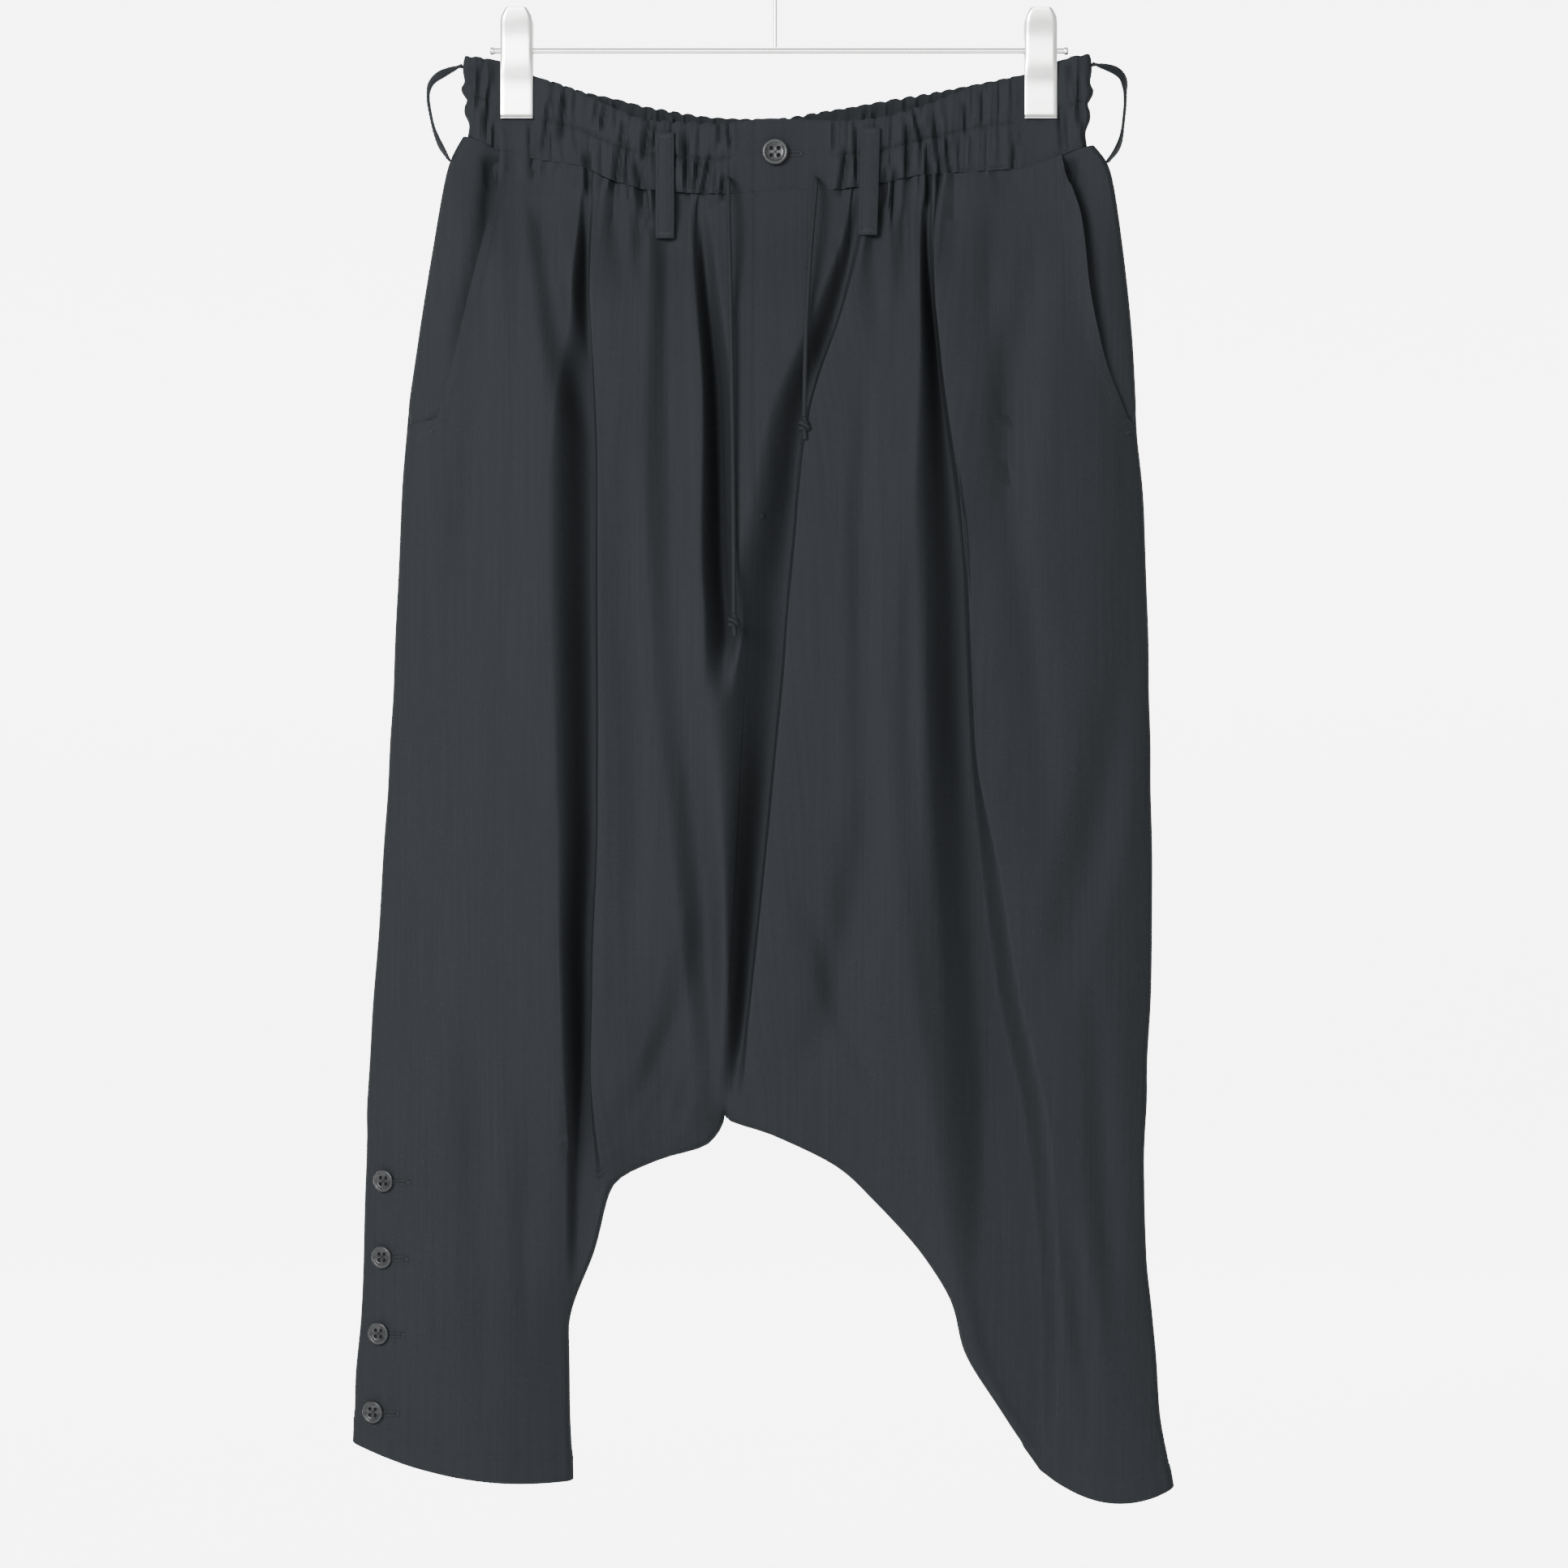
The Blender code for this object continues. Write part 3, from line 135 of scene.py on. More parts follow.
# The waistband across the body: the drops of its edges, and its half depth.
WAIST_COLUMNS = ("x", "front_top", "back_top", "front_seam", "back_seam", "depth")
WAIST = [
    (-214, 4, 4, 57, 57, 7.0),
    (-200, 5, 5, 61, 61, 6.5),
    (-187, 7, 7, 67, 66, 3.2),
    (-162, 18, 17, 73, 70, 3.2),
    (-133, 28, 26, 78, 74, 6.0),
    (-108, 40, 31, 89, 79, 8.5),
    (-84, 49, 37, 95, 85, 10.5),
    (-40, 51, 43, 98, 91, 12.5),
    (0, 48, 44, 96, 92, 13.0),
    (38, 49, 38, 95, 86, 12.5),
    (69, 47, 33, 91, 81, 11.0),
    (97, 40, 29, 85, 77, 9.0),
    (133, 25, 22, 82, 75, 6.0),
    (167, 17, 16, 79, 73, 3.2),
    (192, 7, 7, 71, 69, 3.2),
    (204, 4, 4, 67, 67, 6.5),
    (218, 2, 2, 63, 63, 7.0),
]
GATHER_DEPTH = 1.9
GATHER_PITCH = 9.2
GATHER_EASE = 8.0  # over what length the gathers start and end
FLAT_FRONT = (-29.0, 40.0)  # where the front band has no elastic
PLAIN_ZONES = ((-192.0, -157.0), (163.0, 197.0))  # where the clips press it flat

# How deep the body hangs before its folds: the drop, and the depth in front and behind.
BULK = [
    (60, 20, 18),
    (150, 33, 30),
    (280, 41, 36),
    (450, 43, 38),
    (640, 41, 37),
    (760, 37, 34),
    (980, 31, 29),
]

# The folds. Each has stations down its length: where its floor lies, how far its left and
# right slopes reach, and its depth. Its crest on the steep side leans over the floor.
Station = namedtuple("Station", "drop x left right depth")
Fold = namedtuple("Fold", "lean roll stations upright")


def pleat(lean, roll, *stations, upright=None):
    """A deep fold whose crest leans over its floor, down to the drop where it stands upright."""
    return Fold(lean, roll, [Station(*s) for s in stations], upright)


def dent(*stations):
    """A fold with no crest."""
    return pleat(0, 0, *stations)


FRONT_FOLDS = {
    "outer_right": pleat(5, 3,
        (76, -126, 5, 5, 0), (100, -126, 6, 6, 6), (150, -125, 11, 7, 17),
        (295, -121, 31, 10, 31), (515, -121, 26, 10, 31), (620, -125, 20, 10, 31),
        (690, -125, 18, 9, 31), (750, -126, 15, 10, 30), (800, -125, 16, 17, 28),
        (840, -128, 12, 16, 24), (880, -135, 7, 11, 12), (900, -139, 5, 7, 0), upright=730,
    ),
    "outer_left": pleat(6, 4,
        (80, 104, 5, 5, 0), (105, 104, 6, 6, 6), (213, 112, 16, 8, 24), (350, 126, 35, 10, 28),
        (460, 131, 38, 10, 29), (625, 145, 52, 17, 32), (735, 162, 60, 24, 32),
        (845, 169, 52, 24, 28), (925, 172, 34, 18, 15), (975, 174, 22, 14, 0), upright=520,
    ),
    "beside_fly": dent(
        (92, -52, 6, 6, 0), (158, -46, 9, 9, 15), (240, -38, 11, 10, 24), (350, -35, 15, 12, 29),
        (392, -33, 15, 12, 25), (418, -35, 13, 10, 10), (438, -37, 11, 10, 0),
    ),
    "fly_lip": pleat(5, 3,
        (95, 58, 6, 6, 0), (130, 54, 10, 7, 9), (170, 46, 17, 7, 15), (251, 21, 26, 8, 19),
        (323, 13, 34, 8, 23), (385, 7, 46, 8, 27), (430, 4, 47, 8, 31), (504, -3, 34, 8, 32),
        (592, -12, 24, 8, 28), (658, -19, 18, 8, 20), (715, -29, 11, 7, 0),
    ),
    "hip_vee": dent(
        (70, -162, 9, 9, 0), (130, -155, 14, 13, 8), (202, -142, 18, 15, 11),
        (265, -130, 18, 14, 0),
    ),
    "under_loop": dent(
        (95, -77, 8, 8, 0), (150, -72, 13, 13, 9), (300, -70, 19, 19, 9), (420, -65, 19, 19, 5),
        (520, -53, 19, 18, 8), (620, -45, 17, 15, 12), (715, -42, 12, 12, 0),
    ),
    "hip_dent": dent(
        (170, -193, 22, 22, 0), (300, -203, 27, 27, 8), (480, -217, 27, 27, 0),
    ),
    "crotch_crease": dent(
        (575, -46, 16, 16, 0), (660, -65, 22, 20, 6), (745, -82, 18, 18, 0),
    ),
    "left_hip_dent": dent(
        (120, 176, 18, 18, 0), (250, 160, 24, 22, 8), (375, 151, 22, 22, 0),
    ),
    "left_thigh_dent": dent(
        (400, 238, 24, 20, 0), (530, 215, 29, 26, 7), (660, 182, 26, 22, 0),
    ),
    "inner_thigh_dent": dent(
        (490, 66, 20, 20, 0), (610, 48, 25, 25, 8), (700, 24, 20, 20, 0),
    ),
    "right_gather_1": dent(
        (84, -108, 7, 7, 4), (110, -106, 7, 7, 5), (170, -100, 8, 8, 0),
    ),
    "right_gather_2": dent(
        (88, -93, 7, 7, 4), (115, -93, 7, 7, 5), (160, -92, 8, 8, 0),
    ),
    "right_gather_3": dent(
        (92, -64, 7, 7, 4), (115, -64, 7, 7, 4), (150, -62, 8, 8, 0),
    ),
    "left_gather_1": dent(
        (86, 72, 7, 7, 4), (120, 71, 7, 7, 6), (200, 68, 9, 9, 0),
    ),
    "left_gather_2": dent(
        (84, 88, 7, 7, 4), (115, 87, 7, 7, 5), (185, 86, 9, 9, 0),
    ),
    "left_gather_3": dent(
        (78, 121, 7, 7, 3), (110, 122, 7, 7, 4), (170, 124, 9, 9, 0),
    ),
}
BACK_FOLDS = {
    "outer_right": pleat(4, 3,
        (76, -150, 6, 6, 0), (150, -150, 17, 9, 15), (400, -147, 27, 10, 30),
        (640, -152, 23, 11, 27), (800, -172, 15, 12, 14), (930, -180, 14, 14, 0),
    ),
    "inner_right": pleat(-4, 3,
        (82, -66, 6, 6, 0), (150, -62, 9, 18, 14), (400, -54, 10, 30, 30), (600, -48, 11, 26, 26),
        (720, -44, 10, 18, 0),
    ),
    "inner_left": pleat(4, 3,
        (82, 42, 6, 6, 0), (160, 44, 19, 9, 15), (420, 42, 28, 10, 30), (600, 26, 24, 10, 24),
        (725, 2, 14, 10, 0),
    ),
    "outer_left": pleat(-4, 3,
        (76, 146, 6, 6, 0), (160, 156, 9, 19, 17), (400, 172, 10, 30, 30), (640, 186, 11, 36, 30),
        (800, 200, 11, 30, 20), (940, 212, 10, 20, 0),
    ),
    "middle": dent(
        (95, -12, 9, 9, 0), (200, -10, 16, 16, 9), (420, -6, 20, 20, 9), (610, -18, 18, 18, 0),
    ),
    "right_dent": dent(
        (150, -196, 18, 18, 0), (330, -208, 24, 24, 8), (560, -214, 24, 24, 0),
    ),
    "left_dent": dent(
        (180, 100, 18, 18, 0), (360, 104, 24, 24, 8), (600, 118, 26, 26, 0),
    ),
}

# The two deep folds that each panel's mesh follows, from the middle outwards, and how many
# columns it has from the middle to the first place on a fold, and so on to the side.
Pleats = namedtuple("Pleats", "folds columns")
PANEL_PLEATS = {
    ("front", "right"): Pleats(("beside_fly", "outer_right"), (2, 3, 3, 6, 2, 3, 4, 7)),
    ("front", "left"): Pleats(("fly_lip", "outer_left"), (2, 4, 3, 2, 4, 5, 3, 2, 6)),
    ("back", "right"): Pleats(("inner_right", "outer_right"), (2, 2, 3, 1, 2, 1, 2, 2, 4)),
    ("back", "left"): Pleats(("inner_left", "outer_left"), (2, 3, 2, 1, 2, 1, 2, 3, 4)),
}
TROUGH_FLOOR = 0.05  # the share of a deep fold's width that is flat at its foot
CREST_REACH = 7.0  # how far beyond a fold's steep side its crest ends
LEAST_COLUMN = 0.006  # the narrowest column, as a share of the panel
FOLLOW_BEYOND = 60.0  # how far past a fold's ends the columns still follow its line
WALL_SIGN = {"front": -1.0, "back": 1.0}
SIDE_SIGN = {"right": -1.0, "left": 1.0}

# Belt loops, buttons and drawcords.
LOOP_WIDTH = 12.6
LOOP_THICKNESS = 1.8
FRONT_LOOPS = {"right": (-74.3, 58.0, 129.0), "left": (64.5, 54.5, 127.5)}  # x, top and foot
WAIST_BUTTON = (0.0, 71.0, 8.8)  # x, drop and radius
ANKLE_BUTTON_RADIUS = 7.5
ANKLE_BUTTON_DROPS = (764.0, 815.5, 867.0, 920.0)
ANKLE_BUTTON_INSET = 14.5  # from the side seam to a button's middle
BUTTON_THICKNESS = 2.6
CORD_RADIUS = 1.5
Route = namedtuple("Route", "x y drop")
# The first place has no y: there the cord comes out through the waistband.
CORD_ROUTES = {
    "right": [
        (-31.5, None, 89), (-31.6, -19.5, 95), (-31, -28, 120), (-30, -38, 160),
        (-29, -43.5, 215), (-28, -45, 280), (-27.5, -45, 340), (-27.3, -45, 383),
    ],
    "left": [
        (27.5, None, 89), (27.2, -20.5, 96.5), (25, -30, 124), (22.5, -38, 158),
        (20.5, -42.5, 200), (19.5, -44, 252),
    ],
}

# Smaller folds that only the dressed cloth has, in the same terms as the deep ones.
FRONT_WRINKLES = {
    "right_soft_1": dent(
        (100, -176, 10, 10, 0), (170, -172, 14, 14, 3), (330, -176, 16, 18, 3.5),
        (520, -186, 18, 20, 0),
    ),
    "right_soft_2": dent(
        (250, -100, 9, 9, 0), (360, -96, 12, 12, 3), (520, -93, 12, 14, 3.5),
        (660, -98, 12, 12, 0),
    ),
    "right_soft_3": dent(
        (520, -236, 12, 14, 0), (640, -240, 16, 18, 3), (760, -246, 14, 16, 0),
    ),
    "right_shin_1": dent(
        (600, -205, 14, 14, 0), (720, -200, 18, 18, 3.5), (860, -196, 16, 16, 2.5),
        (950, -192, 14, 14, 0),
    ),
    "right_shin_2": dent(
        (690, -160, 10, 12, 0), (780, -166, 14, 14, 4), (900, -172, 12, 12, 0),
    ),
    "crotch_drag_1": dent(
        (640, -62, 10, 10, 0), (690, -84, 13, 12, 2.4), (742, -108, 11, 11, 0),
    ),
    "crotch_drag_2": dent(
        (655, -50, 8, 8, 0), (700, -58, 11, 10, 2.2), (738, -70, 8, 8, 0),
    ),
    "left_soft_1": dent(
        (140, 150, 10, 10, 0), (260, 156, 14, 14, 3), (400, 170, 14, 16, 3),
        (560, 190, 16, 16, 0),
    ),
    "left_soft_2": dent(
        (210, 62, 9, 9, 0), (330, 58, 13, 13, 4), (470, 60, 14, 14, 3), (610, 66, 12, 12, 0),
    ),
    "left_soft_3": dent(
        (300, 92, 9, 9, 0), (430, 90, 12, 12, 3.5), (590, 98, 14, 14, 3), (720, 108, 12, 12, 0),
    ),
    "left_drag_1": dent(
        (560, 20, 12, 12, 0), (640, 42, 14, 14, 4), (740, 84, 12, 12, 0),
    ),
    "left_shin_1": dent(
        (620, 214, 14, 14, 0), (760, 222, 16, 18, 4), (900, 232, 14, 14, 0),
    ),
    "left_shin_2": dent(
        (770, 196, 10, 10, 0), (860, 206, 12, 12, 3), (945, 214, 10, 10, 0),
    ),
    "left_hip_soft": dent(
        (90, 148, 9, 9, 0), (150, 146, 13, 13, 4), (230, 140, 12, 12, 0),
    ),
}
BACK_WRINKLES = {
    "right_soft_1": dent(
        (180, -108, 11, 11, 0), (330, -104, 15, 15, 4), (560, -110, 16, 16, 0),
    ),
    "right_soft_2": dent(
        (560, -230, 14, 14, 0), (720, -236, 18, 18, 4), (900, -240, 14, 14, 0),
    ),
    "right_soft_3": dent(
        (620, -90, 12, 12, 0), (690, -104, 14, 14, 4), (748, -126, 10, 10, 0),
    ),
    "left_soft_1": dent(
        (220, 84, 12, 12, 0), (400, 80, 15, 15, 4), (600, 88, 14, 14, 0),
    ),
    "left_soft_2": dent(
        (300, 214, 13, 13, 0), (480, 222, 16, 16, 4), (640, 226, 14, 14, 0),
    ),
    "left_soft_3": dent(
        (590, 46, 12, 12, 0), (670, 70, 14, 14, 4), (770, 112, 12, 12, 0),
    ),
    "left_soft_4": dent(
        (720, 178, 12, 12, 0), (820, 184, 14, 14, 4), (930, 196, 10, 10, 0),
    ),
}

ALL_FOLDS = {
    "front": [*FRONT_FOLDS.values(), *FRONT_WRINKLES.values()],
    "back": [*BACK_FOLDS.values(), *BACK_WRINKLES.values()],
}

# Sharp creases where the elastic draws the cloth in, on the band and just below it.
Crease = namedtuple("Crease", "x drop foot_x foot_drop width depth")
FRONT_CREASES = [
    (-152.4, 36, -156.8, 70, 2.4, 1.6), (-142.5, 33, -144.7, 62, 2.0, 1.4),
    (-164.5, 52, -163.5, 86, 2.6, 1.8), (-119.9, 37, -122.7, 53, 2.0, 1.2),
    (-113.3, 38, -116.6, 54, 2.2, 1.4), (-102.3, 54, -107.8, 95, 2.4, 2.0),
    (-99.0, 60, -100.2, 92, 1.8, 1.4), (-83.6, 48, -89.7, 80, 2.4, 1.9),
    (-79.8, 50, -81.4, 67, 1.8, 1.4), (-60.5, 62, -58.3, 99, 2.2, 1.8),
    (-51.2, 76, -54.5, 100, 2.2, 2.0), (-44.0, 75, -48.4, 101, 2.4, 2.2),
    (-37.4, 50, -36.9, 66, 1.8, 1.2), (-31.4, 51, -30.3, 66, 1.6, 1.0),
    (-33.5, 88, -37.3, 106, 2.0, 1.6), (-127.0, 72, -125.5, 96, 2.4, 2.2),
    (-93.5, 76, -85.5, 120, 3.2, 2.6), (-70.5, 60, -68.8, 80, 2.0, 1.2),
    (-199.0, 14, -200.0, 40, 2.4, 1.6), (-193.0, 26, -195.0, 60, 2.4, 1.6),
    (-205.5, 10, -206.5, 30, 2.2, 1.4), (-190.0, 52, -188.0, 84, 2.4, 1.8),
    (39.6, 50, 39.6, 70, 1.4, 0.9), (55.0, 53, 55.0, 88, 2.0, 1.6),
    (48.0, 72, 44.6, 98, 2.6, 2.2), (89.7, 55, 89.7, 85, 2.2, 1.8),
    (93.5, 41, 99.6, 65, 2.2, 1.7), (102.9, 64, 102.9, 84, 2.2, 1.7),
    (109.5, 50, 111.7, 90, 2.4, 2.0), (116.0, 62, 119.4, 88, 2.0, 1.5),
    (80.9, 82, 80.3, 112, 2.4, 1.9), (75.4, 82, 74.3, 104, 2.2, 1.7),
    (162.8, 66, 161.0, 88, 2.2, 1.2), (104.0, 78, 104.5, 104, 2.6, 2.2),
    (128.0, 36, 129.5, 56, 2.2, 1.2), (140.0, 30, 141.0, 50, 2.2, 1.0),
    (199.0, 10, 200.5, 36, 2.4, 1.6), (205.5, 20, 206.0, 50, 2.4, 1.6),
    (209.0, 44, 212.0, 66, 2.2, 1.6), (193.5, 40, 195.0, 66, 2.2, 1.4),
]
CREASES_BEHIND = 44  # creases spread along the back
CREASE_PITCH = 9.3
CREASE_DEPTH = 2.0
CREASE_WIDTH = 0.85


# ---------------------------------------------------------------- curves


def through(knots, values, at):
    """A smooth curve through the values at the knots that never overshoots them."""
    knots = np.asarray(knots, float)
    values = np.asarray(values, float)
    step = np.diff(knots)
    slope = np.diff(values) / step
    tangent = np.zeros_like(values)
    tangent[0], tangent[-1] = slope[0], slope[-1]
    product = slope[:-1] * slope[1:]
    total = slope[:-1] + slope[1:]
    rising = product > 0
    tangent[1:-1][rising] = 2 * product[rising] / total[rising]
    at = np.clip(np.asarray(at, float), knots[0], knots[-1])
    i = np.clip(np.searchsorted(knots, at, side="right") - 1, 0, len(step) - 1)
    t = (at - knots[i]) / step[i]
    start, end = values[i], values[i + 1]
    out, back = tangent[i] * step[i], tangent[i + 1] * step[i]
    return (
        start * (1 + 2 * t) * (1 - t) ** 2
        + out * t * (1 - t) ** 2
        + end * t**2 * (3 - 2 * t)
        - back * t**2 * (1 - t)
    )


def smooth_step(t):
    t = np.clip(t, 0.0, 1.0)
    return t * t * (3 - 2 * t)


def quarter_round(distance, radius):
    """0 at an edge, rising as a quarter circle to 1 at the radius."""
    t = 1 - np.clip(distance / radius, 0.0, 1.0)
    return np.sqrt(np.maximum(1 - t * t, 0.0))


def distance_to_line(line, x, drop):
    """How far each point lies from a line of joined segments."""
    start, run = line[:-1], np.diff(line, axis=0)
    px = x[..., None] - start[:, 0]
    pd = drop[..., None] - start[:, 1]
    length = (run**2).sum(axis=1)
    t = np.clip((px * run[:, 0] + pd * run[:, 1]) / length, 0.0, 1.0)
    return np.hypot(px - t * run[:, 0], pd - t * run[:, 1]).min(axis=-1)


def travelled_along(points):
    """How far along a line of points each of them lies."""
    steps = np.linalg.norm(np.diff(points, axis=0), axis=1)
    return np.concatenate([[0], np.cumsum(steps)])


def ease(path, rounds):
    """Smooths a path, or the rows of a grid, and leaves its two ends where they are."""
    for _ in range(rounds):
        path[1:-1] = 0.25 * path[:-2] + 0.5 * path[1:-1] + 0.25 * path[2:]
    return path


def in_metres(x, y, drop):
    return np.stack([x, y, -(np.asarray(drop) + BAR_DROP)], axis=-1) * MM


def unit(vectors):
    return vectors / np.maximum(np.linalg.norm(vectors, axis=-1, keepdims=True), 1e-12)


WAIST_AT = dict(zip(WAIST_COLUMNS, zip(*WAIST)))
BULK_AT = dict(zip(("drop", "front", "back"), zip(*BULK)))


def waist(x, column):
    """A value from the waistband's table, at x."""
    return through(WAIST_AT["x"], WAIST_AT[column], x)


def mouth_x(side, drop):
    """Where the pocket's mouth lies, at a drop."""
    return through(*zip(*POCKET_MOUTHS[side]), drop)


def gathering(x, wall):
    """1 where the elastic gathers the band, 0 where it is flat or pressed flat."""
    amount = np.ones_like(x)
    for low, high in PLAIN_ZONES + ((FLAT_FRONT,) if wall == "front" else ()):
        rising = smooth_step((x - low + GATHER_EASE / 2) / GATHER_EASE)
        falling = smooth_step((high + GATHER_EASE / 2 - x) / GATHER_EASE)
        amount *= 1 - rising * falling
    return amount


def band_waves(x, wall):
    """The gathers along the band, uneven in pitch and height, with narrow valleys between."""
    drift = 0.9 * np.sin(x / 23.0) + 0.6 * np.sin(x / 9.7 + 1.3)
    turn = 2 * math.pi * x / GATHER_PITCH + drift + (0.0 if wall == "front" else 2.1)
    height = 0.72 + 0.28 * np.sin(x / 13.0 + 0.7)
    return GATHER_DEPTH * height * gathering(x, wall) * (1 - (0.5 - 0.5 * np.cos(turn)) ** 2.5)


class Half:
    """One half of the trousers, from the centre seam and inseam out to the side seam."""

    def __init__(self, side):
        self.side = side
        self.sign = SIDE_SIGN[side]
        self.table = np.array(SECTIONS[side], float)
        self.last = len(self.table) - 1
        v = np.linspace(0, self.last, 10 * self.last + 1)
        outer = np.stack(self.flat(np.ones_like(v), v, "front"), axis=1)
        top = [[BAND_ENDS[0 if side == "right" else 1], -10.0]]
        self.side_line = np.concatenate([top, outer, [2 * outer[-1] - outer[-20]]])
        below = v[v >= CROTCH]
        inner = np.stack(self.flat(np.zeros_like(below), below, "front"), axis=1)
        self.inseam_line = np.concatenate([inner, [2 * inner[-1] - inner[-20]]])

    def along(self, column, v):
        return through(range(self.last + 1), self.table[:, SECTION_COLUMNS.index(column)], v)

    def flat(self, u, v, wall):
        """Where a point lies as seen from the front: u across, v down the sections."""
        inner_x, inner_drop = self.along("inner_x", v), self.along("inner_drop", v)
        outer_x, outer_drop = self.along("outer_x", v), self.along("outer_drop", v)
        inner_x = inner_x - self.sign * CENTRE_OVERLAP / 2
        if wall == "front":
            lap = smooth_step((FLY_FOOT - 32 - inner_drop) / 20)
            inner_x = inner_x - self.sign * FLY_LAP * lap
        x = inner_x + (outer_x - inner_x) * u
        drop = inner_drop + (outer_drop - inner_drop) * u + self.along("sag", v) * 4 * u * (1 - u)
        top = self.table[0]
        straight = top[1] + (top[3] - top[1]) * u
        seam = waist(x, f"{wall}_seam") + BAND_SEAM_GAP
        return x, drop + (seam - straight) * np.clip(1 - v / 3, 0, 1) ** 2

    def clearances(self, u, v, x, drop, wall):
        """Distances to the side seam and to the inseam, exactly 0 on the seams themselves."""
        to_side = distance_to_line(self.side_line, x, drop)
        on_side = distance_to_line(self.side_line, *self.flat(np.ones_like(u), v, wall))
        to_inseam = distance_to_line(self.inseam_line, x, drop)
        on_inseam = distance_to_line(self.inseam_line, *self.flat(np.zeros_like(u), v, wall))
        on_inseam = np.where(v >= CROTCH, on_inseam, 0.0)
        return np.maximum(to_side - on_side, 0), np.maximum(to_inseam - on_inseam, 0)

    def surface(self, u, v, wall):
        """The cloth's outer face, in millimetres as x, y and drop."""
        u, v = np.broadcast_arrays(np.asarray(u, float), np.asarray(v, float))
        x, drop = self.flat(u, v, wall)
        to_side, to_inseam = self.clearances(u, v, x, drop, wall)
        bulk = through(BULK_AT["drop"], BULK_AT[wall], drop)
        swell = (1 - np.exp(-to_side / SEAM_EASE)) * (1 - np.exp(-to_inseam / SEAM_EASE))
        edge = quarter_round(to_side, SEAM_ROUND) * quarter_round(to_inseam, SEAM_ROUND)
        body = SEAM_ROUND * edge + (bulk - SEAM_ROUND) * swell
        band = (waist(x, "depth") - 0.6) * quarter_round(to_side, BAND_ROUND)
        below_band = smooth_step((drop - waist(x, f"{wall}_seam")) / WAIST_EASE)
        depth = band + (body - band) * below_band
        hold = (1 - np.exp(-((to_side / 15) ** 2))) * (1 - np.exp(-((to_inseam / 12) ** 2)))
        pushed, sunk = fold_shift(ALL_FOLDS[wall], x, drop)
        floor = np.minimum(depth, VALLEY_FLOOR)
        folded = depth - sunk * hold
        blend = 0.5 * floor
        depth = 0.5 * (folded + floor + np.sqrt((folded - floor) ** 2 + blend**2)) - blend / 8
        if wall == "front" and self.side == "left":
            near_edge = smooth_step(1 - (x - FLY_EDGE) / 28)
            depth = depth + FLY_LIFT * near_edge * smooth_step((FLY_FOOT - drop) / 26)
        y = WALL_SIGN[wall] * (SEAM_GAP / 2 + depth)
        return np.stack([x + pushed * hold, y, drop], axis=-1)

    def fold_places(self, fold, v, wall):
        """The values of u where section v crosses a fold's sides, floor and crest."""
        u = np.linspace(0, 1, 401)
        x, drop = self.flat(u, np.full_like(u, v), wall)
        off = self.sign * (x - fold_value(fold, "x", drop))
        near, far = ("left", "right") if self.sign > 0 else ("right", "left")
        turns = [(-1, near, 0.0), (1, far, 0.0)]
        if fold.lean:
            crest_way = 1 if fold.lean * self.sign > 0 else -1
            turns.append((crest_way, far if crest_way > 0 else near, CREST_REACH))
        found = [np.interp(0.0, off, u)]
        for way, reach, extra in turns:
            found.append(np.interp(0.0, off - way * (fold_value(fold, reach, drop) + extra), u))
        middle = np.interp(found[0], u, drop)
        beyond = max(fold.stations[0].drop - middle, middle - fold.stations[-1].drop, 0.0)
        return np.sort(found), float(smooth_step(1 - beyond / FOLLOW_BEYOND))

    def spread(self, v, wall, end=1.0):
        """The values of u for the mesh's columns at section v, which follow the folds."""
        pleats = PANEL_PLEATS[wall, self.side]
        counts = np.array(pleats.columns)
        even = end * np.concatenate([[0], np.cumsum(counts)]) / counts.sum()
        folds = FRONT_FOLDS if wall == "front" else BACK_FOLDS
        (first, first_held), (second, second_held) = (
            self.fold_places(folds[name], v, wall) for name in pleats.folds
        )
        split = 1 + len(first)
        start_of_second = even[split] + (min(second[0], end) - even[split]) * second_held
        free_first = even[1:split] * start_of_second / even[split]
        first = free_first + (np.minimum(first, end) - free_first) * first_held
        share = (even[split:-1] - even[split - 1]) / (end - even[split - 1])
        free_second = first[-1] + (end - first[-1]) * share
        second = free_second + (np.minimum(second, end) - free_second) * second_held
        places = np.concatenate([[0.0], first, second, [end]])
        for k in range(1, len(places)):
            places[k] = max(places[k], places[k - 1] + LEAST_COLUMN * counts[k - 1])
        places[-1] = end
        for k in range(len(places) - 2, 0, -1):
            places[k] = min(places[k], places[k + 1] - LEAST_COLUMN * counts[k])
        columns = [np.array([0.0])]
        for k, count in enumerate(counts):
            t = np.linspace(0, 1, count + 1)[1:]
            if k == 0:
                t = t ** (1 + smooth_step(v - CROTCH + 1))
            if k == len(counts) - 1:
                t = 1 - (1 - t) ** 2
            columns.append(places[k] + (places[k + 1] - places[k]) * t)
        return np.concatenate(columns)

    def mouth(self, v):
        """The value of u where section v crosses the pocket's mouth."""
        low, high = 0.5, 1.0
        for _ in range(40):
            middle = (low + high) / 2
            x, drop = self.flat(np.float64(middle), np.float64(v), "front")
            beyond = self.sign * (x - mouth_x(self.side, drop)) > 0
            low, high = (low, middle) if beyond else (middle, high)
        return (low + high) / 2


def fold_value(fold, column, drop):
    """A value from the fold's stations at a drop."""
    drops = [s.drop for s in fold.stations]
    return through(drops, [getattr(s, column) for s in fold.stations], drop)


def fold_depth(fold, drop):
    """How deep the fold is at a drop: nothing beyond an end where it has run out."""
    first, last = fold.stations[0], fold.stations[-1]
    inside = (drop > first.drop) & (drop < last.drop)
    inside = inside | ((drop <= first.drop) & (first.depth > 0))
    return np.where(inside, fold_value(fold, "depth", drop), 0.0)


